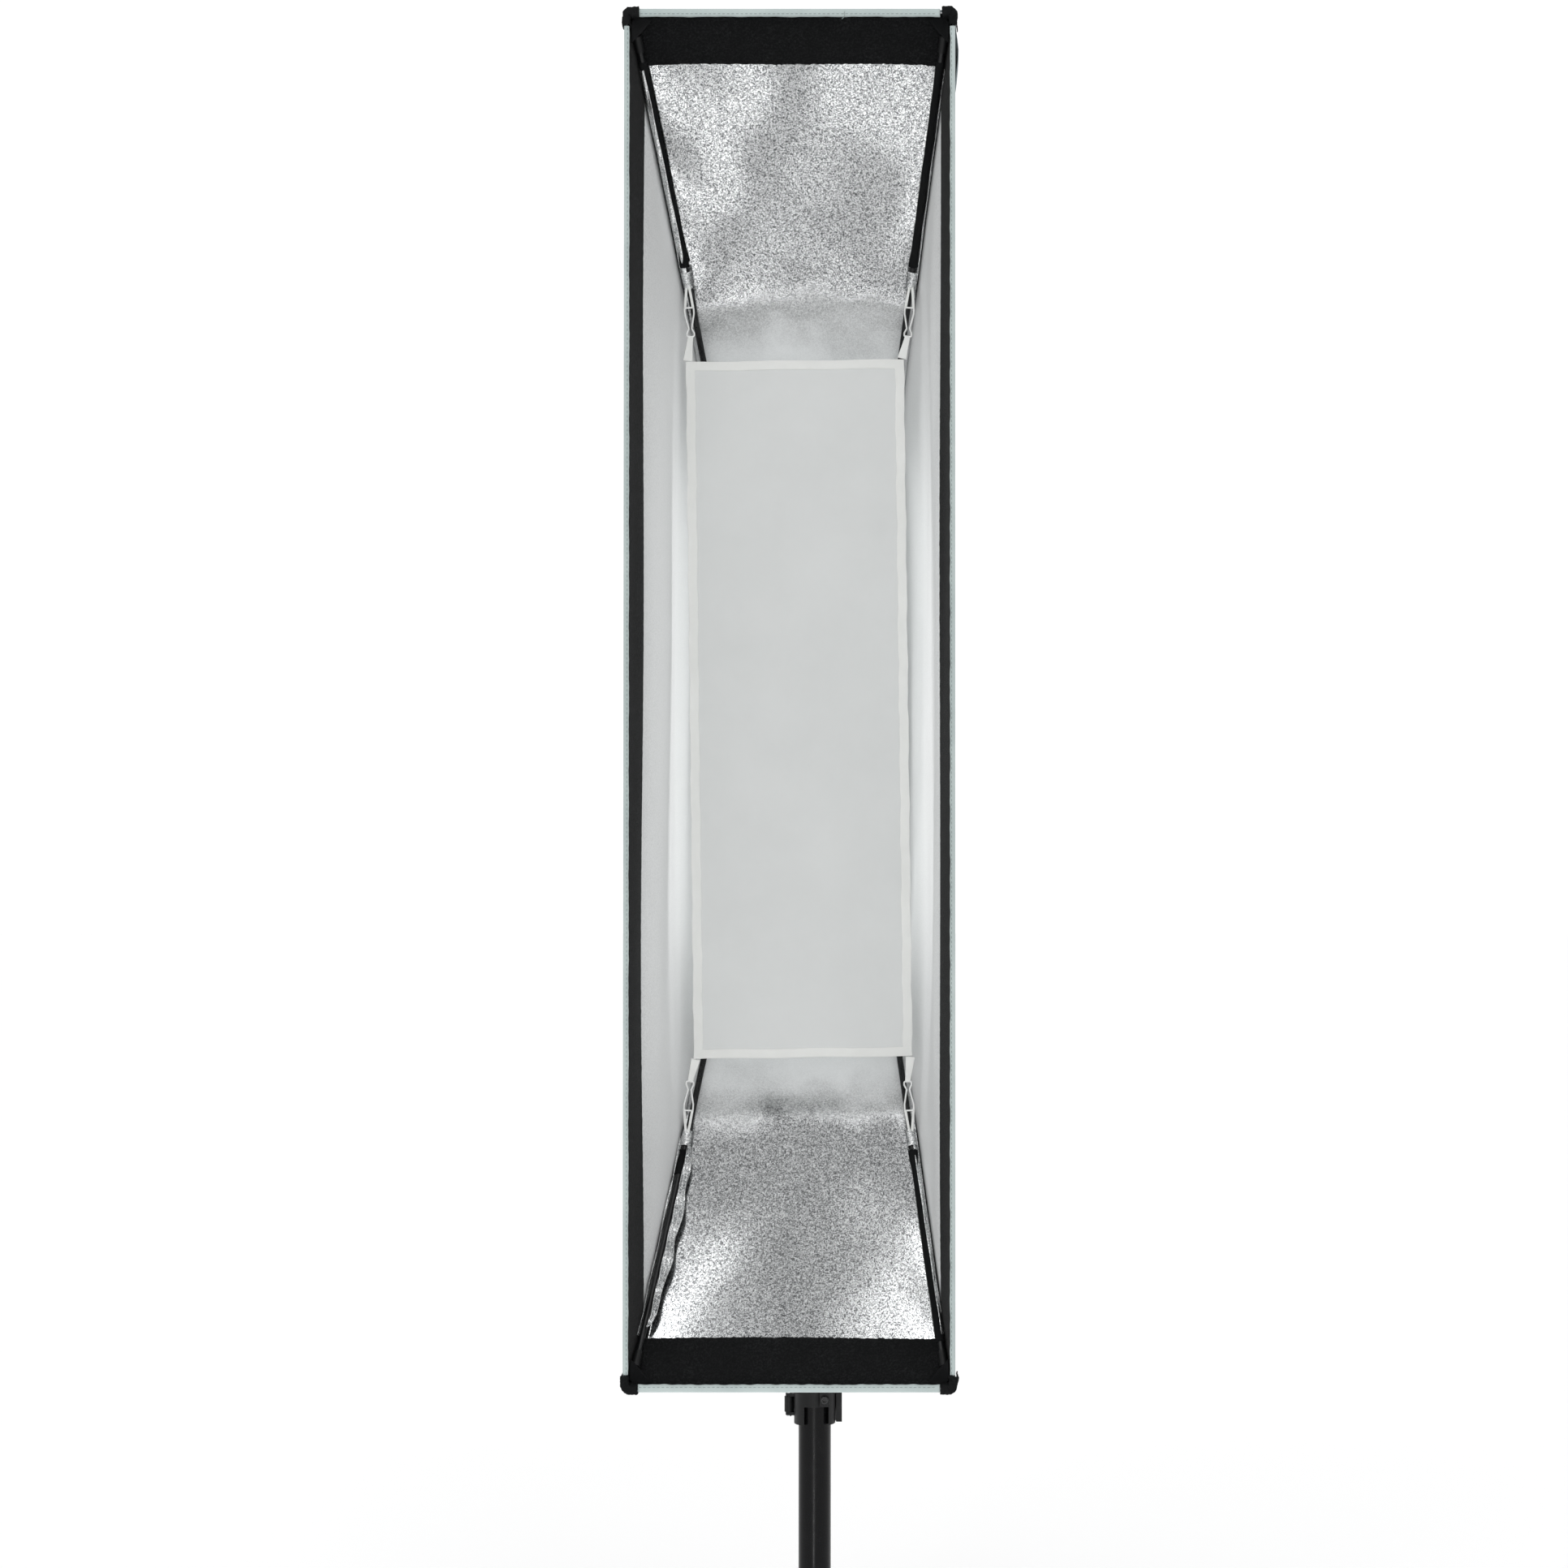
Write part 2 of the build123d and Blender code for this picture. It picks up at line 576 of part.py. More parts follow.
# ---------------------------------------------------------------- bracket head
ARM_SCREWS = Locations((-11.5, ARM_Y), (11.5, ARM_Y))
with BuildPart() as bracket:
    with BuildSketch(across(BRACKET_REAR_Y)):
        Circle(BRACKET_RADIUS)
    extrude(amount=BRACKET_REAR_Y - BRACKET_FRONT_Y)
    chamfer(bracket.edges().filter_by(GeomType.CIRCLE), 1.5)
    with BuildSketch(Plane.XY.offset(BOX_CENTRE_Z - ARM_DROP)):
        with Locations((0, ARM_Y)):
            RectangleRounded(32, 20, 3)
    extrude(amount=18)
    with BuildSketch(sideways(BRACKET_RADIUS - 8, LATCH_Y)):
        RectangleRounded(LATCH_DEPTH + 8, LATCH_WIDTH + 10, 2)
    extrude(amount=8)
    with BuildSketch(across(BRACKET_REAR_Y)):
        Circle(BRACKET_RECESS)
    extrude(amount=BRACKET_REAR_Y - BRACKET_FRONT_Y - 5, mode=Mode.SUBTRACT)
    with BuildSketch(across(0)):
        Circle(LUG_ROOT_RADIUS + TURN_CLEARANCE)
        for angle in (60, 180, 300):
            with BuildLine():
                PolarLine((0, 0), LUG_RADIUS + 0.4, angle - 22)
                PolarLine((0, 0), LUG_RADIUS + 0.4, angle + 22)
                CenterArc((0, 0), LUG_RADIUS + 0.4, angle - 22, 44)
            make_face()
    extrude(amount=100, mode=Mode.SUBTRACT)
    with BuildSketch(sideways(BRACKET_RECESS - 4, LATCH_Y)):
        Rectangle(LATCH_DEPTH + 0.4, LATCH_WIDTH + 0.4)
    extrude(amount=30, mode=Mode.SUBTRACT)
    with BuildSketch(Plane.XY.offset(BOX_CENTRE_Z - ARM_DROP)):
        with ARM_SCREWS:
            Circle(SMALL_SCREW_RADIUS)
    extrude(amount=9, mode=Mode.SUBTRACT)
save(bracket.part, "bracket_ring")

with BuildPart() as arm:
    with BuildSketch(Plane.YZ.offset(-TONGUE_WIDTH / 2)):
        with Locations((0, PIVOT_Z)):
            Circle(TONGUE_RADIUS)
        with Locations((ARM_Y, FLANGE_TOP_Z - FLANGE_THICKNESS / 2)):
            Rectangle(20, FLANGE_THICKNESS)
        make_hull()
    extrude(amount=TONGUE_WIDTH)
    with BuildSketch(Plane.XY.offset(FLANGE_TOP_Z - FLANGE_THICKNESS)):
        with Locations((0, ARM_Y)):
            RectangleRounded(32, 20, 3)
    extrude(amount=FLANGE_THICKNESS)
    with BuildSketch(Plane.XY.offset(FLANGE_TOP_Z)):
        with ARM_SCREWS:
            Circle(SMALL_SCREW_RADIUS + 0.1)
    extrude(amount=-20, mode=Mode.SUBTRACT)
    with BuildSketch(Plane.YZ.offset(-20)):
        with Locations((0, PIVOT_Z)):
            Circle(PIVOT_BOLT_RADIUS + RUNNING_CLEARANCE)
    extrude(amount=40, mode=Mode.SUBTRACT)
save(arm.part, "bracket_arm")

with BuildPart() as arm_screws:
    with BuildSketch(Plane.XY.offset(FLANGE_TOP_Z - FLANGE_THICKNESS - 3.5)):
        with ARM_SCREWS:
            Circle(2.6)
            RegularPolygon(1.4, 6, mode=Mode.SUBTRACT)
    extrude(amount=3.4)
    with BuildSketch(Plane.XY.offset(FLANGE_TOP_Z - FLANGE_THICKNESS - 1.6)):
        with ARM_SCREWS:
            Circle(SMALL_SCREW_RADIUS)
    extrude(amount=FLANGE_THICKNESS + 1.6 + 8)
save(arm_screws.part, "arm_screws")

# The latch slides out along X against its spring and frees the insert's notched lug.
with BuildPart() as latch:
    with BuildSketch(sideways(BRACKET_RECESS + 0.6, LATCH_Y)):
        RectangleRounded(LATCH_DEPTH, LATCH_WIDTH, 0.8)
    extrude(amount=LATCH_SHOULDER_X - BRACKET_RECESS - 0.6)
    with BuildSketch(sideways(LUG_RADIUS - 2.9, LUG_FRONT_Y + LUG_THICKNESS / 2)):
        Rectangle(LUG_THICKNESS - 0.4, 7.0)
    extrude(amount=6)
    with BuildSketch(sideways(LATCH_SHOULDER_X, LATCH_Y)):
        Circle(LATCH_STEM_RADIUS)
    extrude(amount=12)
    with BuildSketch(sideways(LATCH_SHOULDER_X + 11, LATCH_Y)):
        RectangleRounded(9, 14, 2)
    extrude(amount=6)
    fillet(latch.faces().sort_by(Axis.X)[-1].edges(), 1.0)
save(latch.part, "bayonet_latch")

SPRING_WIRE_RADIUS = 0.35
with BuildPart() as latch_spring:
    with BuildLine():
        coil = Helix(
            pitch=1.5,
            height=4.5,
            radius=3.8,
            center=(LATCH_SHOULDER_X + 0.5, LATCH_Y, BOX_CENTRE_Z),
            direction=(1, 0, 0),
        )
    with BuildSketch(Plane(origin=coil @ 0, z_dir=coil % 0)):
        Circle(SPRING_WIRE_RADIUS)
    sweep(is_frenet=True)
save(latch_spring.part, "latch_spring")

with BuildPart() as latch_cover:
    with BuildSketch(sideways(BRACKET_RADIUS + 0.1, LATCH_Y)):
        RectangleRounded(LATCH_DEPTH + 7, LATCH_WIDTH + 9, 2)
        Circle(LATCH_STEM_RADIUS + 0.2, mode=Mode.SUBTRACT)
    extrude(amount=2)
    chamfer(latch_cover.faces().sort_by(Axis.X)[-1].edges().filter_by(GeomType.LINE), 0.6)
save(latch_cover.part, "latch_cover")

# ---------------------------------------------------------------- receiver with its tilt clamp
with BuildPart() as receiver:
    with BuildSketch(Plane.XY.offset(RECEIVER_BOTTOM_Z)):
        Circle(19)
    extrude(amount=RECEIVER_TOP_Z - RECEIVER_BOTTOM_Z - 2)
    chamfer(receiver.faces().sort_by(Axis.Z)[0].edges(), 1.5)
    with BuildSketch(Plane.XY.offset(RECEIVER_TOP_Z - 14)):
        RectangleRounded(2 * CHEEK_OUTER_X, 34, 4)
    extrude(amount=14)
    for inner_x in (CHEEK_INNER_X, -CHEEK_OUTER_X):
        with BuildSketch(Plane.YZ.offset(inner_x)):
            with Locations((0, PIVOT_Z)):
                Circle(CHEEK_RADIUS)
            with Locations((0, RECEIVER_TOP_Z - 3)):
                Rectangle(30, 6)
            make_hull()
        extrude(amount=CHEEK_WIDTH)
    with BuildSketch(Plane.XY.offset(RECEIVER_BOTTOM_Z)):
        Circle(SPIGOT_RADIUS + RUNNING_CLEARANCE)
    extrude(amount=SPIGOT_HEIGHT + 4, mode=Mode.SUBTRACT)
    with BuildSketch(Plane.YZ.offset(-30)):
        with Locations((0, PIVOT_Z)):
            Circle(PIVOT_BOLT_RADIUS + 0.02)
    extrude(amount=60, mode=Mode.SUBTRACT)
    with BuildSketch(Plane.YZ.offset(-30)):
        with Locations((0, RECEIVER_SCREW_Z)):
            Circle(3 + RUNNING_CLEARANCE)
    extrude(amount=30, mode=Mode.SUBTRACT)
save(receiver.part, "receiver")

with BuildPart() as pivot_bolt:
    with BuildSketch(Plane.YZ.offset(-CHEEK_OUTER_X - 5.3)):
        with Locations((0, PIVOT_Z)):
            RegularPolygon(8, 6)
    extrude(amount=5.2)
    with BuildSketch(Plane.YZ.offset(-CHEEK_OUTER_X - 1)):
        with Locations((0, PIVOT_Z)):
            Circle(PIVOT_BOLT_RADIUS)
    extrude(amount=CHEEK_OUTER_X * 2 + 12)
save(pivot_bolt.part, "pivot_bolt")

with BuildPart() as tilt_handle:
    with BuildSketch(Plane.YZ.offset(CHEEK_OUTER_X + 0.3)):
        with Locations((0, PIVOT_Z)):
            Circle(9)
    extrude(amount=13)
    fillet(tilt_handle.faces().sort_by(Axis.X)[-1].edges(), 1.0)
    with BuildSketch(Plane.YZ.offset(CHEEK_OUTER_X + 4)):
        with Locations((0, PIVOT_Z)):
            Circle(7)
            with PolarLocations(HANDLE_LENGTH, 1, start_angle=-20):
                Circle(5)
        make_hull()
    extrude(amount=7)
    with BuildSketch(Plane.YZ.offset(CHEEK_OUTER_X)):
        with Locations((0, PIVOT_Z)):
            Circle(PIVOT_BOLT_RADIUS + RUNNING_CLEARANCE)
    extrude(amount=40, mode=Mode.SUBTRACT)
save(tilt_handle.part, "tilt_handle")

SCREW_AXIS = Plane.YZ.offset(-SPIGOT_RADIUS + 0.9)
with BuildPart() as receiver_screw:
    with BuildSketch(SCREW_AXIS):
        with Locations((0, RECEIVER_SCREW_Z)):
            Circle(3)
    extrude(amount=-22)
    with BuildSketch(Plane.YZ.offset(-24)):
        with Locations((0, RECEIVER_SCREW_Z)):
            Circle(6.5)
    extrude(amount=-9)
    with BuildSketch(Plane.XZ.offset(-22)):
        with Locations((-30, RECEIVER_SCREW_Z)):
            Circle(4.5)
    extrude(amount=44)
    fillet(receiver_screw.faces().filter_by(Axis.Y).edges(), 2.0)
save(receiver_screw.part, "receiver_screw")

# ---------------------------------------------------------------- telescoping column
def pipe(bottom, top, outer, inner):
    """An upright tube about the column's axis."""
    with BuildPart() as made:
        with BuildSketch(Plane.XY.offset(bottom)):
            Circle(outer)
            Circle(inner, mode=Mode.SUBTRACT)
        extrude(amount=top - bottom)
    return made.part


save(pipe(UPPER_TUBE_BOTTOM_Z, UPPER_TUBE_TOP_Z, UPPER_TUBE_RADIUS, UPPER_TUBE_BORE), "upper_tube")
save(
    pipe(UPPER_TUBE_BOTTOM_Z + 1, UPPER_TUBE_BOTTOM_Z + 13, LOWER_TUBE_BORE - 0.1, UPPER_TUBE_RADIUS + 0.02),
    "glide_ring",
)
save(pipe(FOOT_HEIGHT + 0.1, LOWER_TUBE_TOP_Z, LOWER_TUBE_RADIUS, LOWER_TUBE_BORE), "lower_tube")

with BuildPart() as spigot:
    with BuildSketch(Plane.XY.offset(UPPER_TUBE_TOP_Z - 22)):
        Circle(UPPER_TUBE_BORE - 0.1)
    extrude(amount=24)
    with BuildSketch(Plane.XY.offset(UPPER_TUBE_TOP_Z + 0.1)):
        Circle(UPPER_TUBE_RADIUS)
    extrude(amount=RECEIVER_BOTTOM_Z - UPPER_TUBE_TOP_Z - 0.3)
    with BuildSketch(Plane.XY.offset(UPPER_TUBE_TOP_Z + 8)):
        Circle(SPIGOT_RADIUS)
    extrude(amount=RECEIVER_BOTTOM_Z + SPIGOT_HEIGHT - UPPER_TUBE_TOP_Z - 8)
    chamfer(spigot.faces().sort_by(Axis.Z)[-1].edges(), 1.2)
    with BuildSketch(Plane.XY.offset(RECEIVER_SCREW_Z - 7)):
        Circle(SPIGOT_RADIUS + 2)
        Circle(SPIGOT_RADIUS - 1.5, mode=Mode.SUBTRACT)
    extrude(amount=14, mode=Mode.SUBTRACT)
save(spigot.part, "stand_spigot")

with BuildPart() as foot:
    with BuildSketch():
        Circle(FOOT_RADIUS)
    extrude(amount=FOOT_HEIGHT)
    fillet(foot.faces().sort_by(Axis.Z)[-1].edges(), 2.5)
    with BuildSketch(Plane.XY.offset(FOOT_HEIGHT)):
        Circle(LOWER_TUBE_BORE - 0.05)
    extrude(amount=12)
    with BuildSketch():
        Circle(FOOT_BORE_RADIUS)
    extrude(amount=FOOT_BORE_DEPTH, mode=Mode.SUBTRACT)
save(foot.part, "column_foot")

with BuildPart() as bush:
    add(pipe(BUSH_BOTTOM_Z, COLLAR_TOP_Z + 1, LOWER_TUBE_BORE - 0.02, UPPER_TUBE_RADIUS + RUNNING_CLEARANCE))
    bush_radius = LOWER_TUBE_RADIUS + 1.5
    add(pipe(COLLAR_TOP_Z + 0.1, COLLAR_TOP_Z + 2, bush_radius, UPPER_TUBE_RADIUS + RUNNING_CLEARANCE))
save(bush.part, "collar_bush")

CLAMP_SCREW_X = 11.9
CLAMP_SCREW_Z = 273.0
LUG_PLATES = (LEVER_BOTTOM_Z - 3.6, LEVER_BOTTOM_Z + LEVER_HEIGHT + 0.3)
with BuildPart() as collar:
    with BuildSketch(Plane.XY.offset(COLLAR_BOTTOM_Z)):
        Circle(COLLAR_RADIUS)
    extrude(amount=COLLAR_TOP_Z - COLLAR_BOTTOM_Z)
    chamfer(collar.faces().sort_by(Axis.Z)[-1].edges(), 1.5)
    with BuildSketch(Plane.XZ.offset(14)):
        with Locations((CLAMP_SCREW_X, CLAMP_SCREW_Z)):
            RectangleRounded(10.5, 15.5, 2)
    extrude(amount=11)
    with BuildSketch(Plane.XY.offset(COLLAR_BOTTOM_Z)):
        with Locations((2.7, -COLLAR_RADIUS)):
            Rectangle(26, 2 * COLLAR_RADIUS)
    extrude(amount=COLLAR_WINDOW_TOP_Z - COLLAR_BOTTOM_Z, mode=Mode.SUBTRACT)
    for plate_z in LUG_PLATES:
        with BuildSketch(Plane.XY.offset(plate_z)):
            with Locations((LEVER_PIN_X, LEVER_PIN_Y)):
                Circle(3.8)
            with Locations((-19, LEVER_PIN_Y)):
                Rectangle(4, 9)
            make_hull()
        extrude(amount=3.3)
    with BuildSketch(Plane.XY.offset(COLLAR_BOTTOM_Z)):
        Circle(LOWER_TUBE_RADIUS + 0.05)
        with Locations((LEVER_PIN_X, LEVER_PIN_Y)):
            Circle(LEVER_PIN_RADIUS + 0.02)
    extrude(amount=LOWER_TUBE_TOP_Z + 0.1 - COLLAR_BOTTOM_Z, mode=Mode.SUBTRACT)
    with BuildSketch(Plane.XY.offset(LOWER_TUBE_TOP_Z)):
        Circle(LOWER_TUBE_BORE + 0.05)
        with Locations((LEVER_PIN_X, LEVER_PIN_Y)):
            Circle(LEVER_PIN_RADIUS + 0.02)
    extrude(amount=30, mode=Mode.SUBTRACT)
    with BuildSketch(Plane.XZ.offset(17)):
        with Locations((CLAMP_SCREW_X, CLAMP_SCREW_Z)):
            Circle(2)
    extrude(amount=20, mode=Mode.SUBTRACT)
save(collar.part, "column_collar")

with BuildPart() as clamp_screw:
    with BuildSketch(Plane.XZ.offset(25.1)):
        with Locations((CLAMP_SCREW_X, CLAMP_SCREW_Z)):
            Circle(4.2)
    extrude(amount=4)
    fillet(clamp_screw.faces().sort_by(Axis.Y)[0].edges(), 0.6)
    with BuildSketch(Plane.XZ.offset(27)):
        with Locations((CLAMP_SCREW_X, CLAMP_SCREW_Z)):
            RegularPolygon(2.4, 6)
    extrude(amount=4, mode=Mode.SUBTRACT)
    with BuildSketch(Plane.XZ.offset(17.6)):
        with Locations((CLAMP_SCREW_X, CLAMP_SCREW_Z)):
            Circle(2)
    extrude(amount=8)
save(clamp_screw.part, "clamp_screw")

with BuildPart() as lever_pin:
    with BuildSketch(Plane.XY.offset(LUG_PLATES[0] - 1)):
        with Locations((LEVER_PIN_X, LEVER_PIN_Y)):
            Circle(LEVER_PIN_RADIUS)
    extrude(amount=LUG_PLATES[1] - LUG_PLATES[0] + 3.3 + 2)
    for head_z in (LUG_PLATES[0] - 1.2, LUG_PLATES[1] + 3.4):
        with BuildSketch(Plane.XY.offset(head_z)):
            with Locations((LEVER_PIN_X, LEVER_PIN_Y)):
                Circle(LEVER_PIN_RADIUS + 0.8)
        extrude(amount=1.1)
save(lever_pin.part, "lever_pin")

LEVER_INNER = COLLAR_RADIUS + 0.9
LEVER_OUTER = 29.4
with BuildPart() as lever:
    with BuildSketch(Plane.XY.offset(LEVER_BOTTOM_Z)):
        with BuildLine():
            outside = CenterArc((0, 0), LEVER_OUTER, 0, 172)
            inside = CenterArc((0, 0), LEVER_INNER, 0, 172)
            Line(outside @ 0, inside @ 0)
            Line(outside @ 1, inside @ 1)
        make_face()
        with Locations((LEVER_PIN_X, LEVER_PIN_Y)):
            Circle(5)
    extrude(amount=LEVER_HEIGHT)
    with BuildSketch(Plane.XY.offset(COLLAR_BOTTOM_Z + 0.5)):
        with BuildLine():
            outside = CenterArc((0, 0), LEVER_OUTER, 0, 32)
            inside = CenterArc((0, 0), LEVER_INNER, 0, 32)
            Line(outside @ 0, inside @ 0)
            Line(outside @ 1, inside @ 1)
        make_face()
    extrude(amount=38.5)
    with BuildSketch(Plane.XY.offset(LEVER_BOTTOM_Z)):
        with Locations((LEVER_PIN_X, LEVER_PIN_Y)):
            Circle(LEVER_PIN_RADIUS + 0.05)
    extrude(amount=LEVER_HEIGHT, mode=Mode.SUBTRACT)
save(lever.part, "clamp_lever")
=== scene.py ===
"""A strip softbox on its stand column: cloth, lining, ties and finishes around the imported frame.

Lengths are metres. X is to the right, Y goes back from the mouth and Z is up.
"""
import json

import bmesh
import bpy
import numpy as np
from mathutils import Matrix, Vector


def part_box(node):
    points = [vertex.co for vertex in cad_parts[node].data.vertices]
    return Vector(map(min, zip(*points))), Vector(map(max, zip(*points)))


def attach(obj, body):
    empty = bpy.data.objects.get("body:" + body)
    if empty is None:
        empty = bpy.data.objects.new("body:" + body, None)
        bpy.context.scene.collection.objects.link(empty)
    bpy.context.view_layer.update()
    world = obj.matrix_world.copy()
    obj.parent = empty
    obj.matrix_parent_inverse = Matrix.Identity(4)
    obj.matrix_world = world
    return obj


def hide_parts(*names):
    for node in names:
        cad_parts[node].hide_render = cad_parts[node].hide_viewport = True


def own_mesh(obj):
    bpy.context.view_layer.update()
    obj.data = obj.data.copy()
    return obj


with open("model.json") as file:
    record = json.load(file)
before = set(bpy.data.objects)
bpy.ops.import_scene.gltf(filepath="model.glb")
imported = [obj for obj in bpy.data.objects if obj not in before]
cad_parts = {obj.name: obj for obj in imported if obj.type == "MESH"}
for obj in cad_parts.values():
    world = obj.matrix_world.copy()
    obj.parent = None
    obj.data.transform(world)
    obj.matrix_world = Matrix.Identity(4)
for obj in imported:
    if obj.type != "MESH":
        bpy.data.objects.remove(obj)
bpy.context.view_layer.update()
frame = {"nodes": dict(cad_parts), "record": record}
dice = np.random.default_rng(41)

BOX_BODY = "softbox"
SIDES = ("top", "bottom", "left", "right")
CORNERS = {"top_right": (1, 1), "top_left": (-1, 1), "bottom_right": (1, -1), "bottom_left": (-1, -1)}

# ---------------------------------------------------------------- places taken from the frame
TOP_BOX, BOTTOM_BOX, RIGHT_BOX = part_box("shell_top"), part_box("shell_bottom"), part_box("shell_right")
CENTRE_Z = (TOP_BOX[1].z + BOTTOM_BOX[0].z) / 2
HALF_HEIGHT = (TOP_BOX[1].z - BOTTOM_BOX[0].z) / 2
HALF_WIDTH = RIGHT_BOX[1].x
MOUTH_Y, REAR_Y = TOP_BOX[0].y, TOP_BOX[1].y
REAR_RADIUS = 0.092
REAR_CORNER = REAR_RADIUS / 2**0.5
SEAM_GAP = 0.0001
OUTER_SKIN = 0.00045
LINING_FACE, LINING_THICK = 0.0019, 0.0003
BAND_FACE, BAND_THICK = 0.0036, 0.0007
RIM_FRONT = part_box("rim_binding_top")[0].y
DIFFUSER_LOW, DIFFUSER_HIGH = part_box("inner_diffuser")
DIFFUSER_Y = (DIFFUSER_LOW.y + DIFFUSER_HIGH.y) / 2


# ---------------------------------------------------------------- curves and walls
def bowed(front, rear, rise=0.020):
    """The arc through two points whose middle stands rise off the chord: centre plus radius times
    (cos t outward + sin t along the chord), with t from minus to plus the half angle."""
    front, rear = np.array(front), np.array(rear)
    chord = rear - front
    length = np.linalg.norm(chord)
    along = chord / length
    out = np.array([0.0, -chord[2], chord[1]])
    out /= np.linalg.norm(out)
    radius = (length**2 / 4 + rise**2) / (2 * rise)
    half = np.arcsin(length / 2 / radius)
    middle = (front + rear) / 2 + out * (rise - radius)

    def point(share):
        turn = (half * (2 * np.asarray(share, float) - 1))[..., None]
        return middle + radius * (np.cos(turn) * out + np.sin(turn) * along)

    return point


seam = bowed((HALF_WIDTH, MOUTH_Y, HALF_HEIGHT), (REAR_CORNER, REAR_Y, REAR_CORNER))
rod_line = bowed((0.142, -0.442, 0.613), (0.051, -0.084, 0.045))

SLACK = {side: dice.uniform(size=(9, 4)) for side in SIDES}


TAUT_SHARE = 0.22  # the short walls are pulled tighter: their waves keep this share of their height


def ripple(side, share, across):
    """How far the cloth lies inside its true wall: nine slow waves, each an amplitude times the
    sine of (cycles along the wall + cycles across + phase), faded to nothing at seams and ends.
    The top and bottom walls keep TAUT_SHARE of it."""
    total = 0.0
    for a, b, c, d in SLACK[side]:
        cycles_along, cycles_across = 1.0 + 5.0 * b, -2.0 + 4.0 * c
        height = (0.0003 + 0.0009 * a) / (0.5 + b)
        if side in ("top", "bottom"):
            height = height * TAUT_SHARE
        total = total + height * np.sin(2 * np.pi * (cycles_along * share + cycles_across * across / 2 + d))
    ends = np.clip(share / 0.10, 0, 1) * np.clip((1 - share) / 0.2, 0, 1)
    return total * ends * (1 - np.abs(across) ** 6)


def wall(side, share, across, inset):
    """A point of one wall: at a share of the seam, the section is a circular arc from seam to
    seam whose rise grows with share to the power 1.5, and inset moves it in along the section."""
    corner = seam(share)
    flat = side in ("top", "bottom")
    half, height = (corner[..., 0], corner[..., 2]) if flat else (corner[..., 2], corner[..., 0])
    crown = (REAR_RADIUS - REAR_CORNER) * share**1.5 - 0.0006 * (1 - share)
    crown = np.where(np.abs(crown) < 1e-6, 1e-6, crown)
    chord = half - inset - SEAM_GAP
    radius = (chord**2 + crown**2) / (2 * crown)
    turn = np.arcsin(chord / radius) * across
    along, out = radius * np.sin(turn), height - inset + crown - radius + radius * np.cos(turn)
    sign = 1 if side in ("top", "right") else -1
    x, z = (along, sign * out) if flat else (sign * out, along)
    return np.stack([x, corner[..., 1], z + CENTRE_Z], -1)


def wall_grid(side, inset, rows, columns, last=1.0, swell=None):
    """The wall on a grid of share by across, with its slow waves and an extra swell."""
    share, across = np.meshgrid(np.linspace(0, last, rows), np.linspace(-1, 1, columns), indexing="ij")
    depth = inset + ripple(side, share, across)
    if swell is not None:
        depth = depth + swell(share, across)
    return wall(side, share, across, depth)


def facing(points, place, inward=True):
    """Turns a grid over where its faces look the wrong way from a place."""
    normal = np.cross(points[:-1, 1:] - points[:-1, :-1], points[1:, :-1] - points[:-1, :-1])
    towards = (normal * (np.array(place) - points[:-1, :-1])).sum() > 0
    return points if towards == inward else points[:, ::-1]


# ---------------------------------------------------------------- pieces
def piece(name, patches, material, body, stands_for=(), thickness=0.0):
    """One mesh from grids of points. A patch is (points, kind): an open sheet, a tube closed around
    its columns with a point at each end, or a ring closed both ways. Each quad joins four
    neighbours of the grid, and its UV is the length along each direction in metres."""
    vertices, faces, corners, start = [], [], [], 0
    for points, kind in patches:
        rows, columns = points.shape[:2]
        ring, tube = kind == "ring", kind in ("ring", "tube")
        i, j = np.meshgrid(np.arange(rows - (not ring)), np.arange(columns - (not tube)), indexing="ij")
        i, j = i.ravel(), j.ravel()
        around = np.concatenate([[i, i, i + 1, i + 1], [j, j + 1, j + 1, j]]).reshape(2, 4, -1)
        faces += (start + (around[0] % rows) * columns + around[1] % columns).T.tolist()
        middle_row, middle_column = points[rows // 2], points[:, columns // 2]
        u = np.concatenate([[0], np.linalg.norm(np.diff(middle_row, axis=0, append=middle_row[:1]),
                                                axis=1).cumsum()])
        v = np.concatenate([[0], np.linalg.norm(np.diff(middle_column, axis=0, append=middle_column[:1]),
                                                axis=1).cumsum()])
        corners.append(np.stack([u[around[1].T], v[around[0].T]], -1).reshape(-1, 2))
        vertices.append(points.reshape(-1, 3))
        start += rows * columns
        if kind == "tube":
            ends = np.stack([points[0].mean(0), points[-1].mean(0)])
            vertices.append(ends)
            k = np.arange(columns)
            first, last = start - rows * columns, start - columns
            for pole, base, height in ((start, first, 0.0), (start + 1, last, v[rows - 1])):
                faces += np.stack([base + k, base + (k + 1) % columns, np.full(columns, pole)], 1).tolist()
                fan = np.stack([u[k], u[k + 1], (u[k] + u[k + 1]) / 2], 1)
                corners.append(np.stack([fan, np.full(fan.shape, height)], -1).reshape(-1, 2))
            start += 2
    mesh = bpy.data.meshes.new(name)
    mesh.from_pydata(np.concatenate(vertices), [], faces)
    mesh.uv_layers.new(name="UVMap").data.foreach_set("uv", np.concatenate(corners).ravel())
    if all(kind != "sheet" for _, kind in patches):
        shape = bmesh.new()
        shape.from_mesh(mesh)
        bmesh.ops.recalc_face_normals(shape, faces=shape.faces)
        shape.to_mesh(mesh)
        shape.free()
    mesh.shade_smooth()
    mesh.materials.append(material)
    made = bpy.data.objects.new(name, mesh)
    bpy.context.scene.collection.objects.link(made)
    if thickness:
        skin = made.modifiers.new("cloth thickness", "SOLIDIFY")
        skin.thickness, skin.offset = thickness, -1
    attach(made, body)
    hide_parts(*stands_for)
    return made


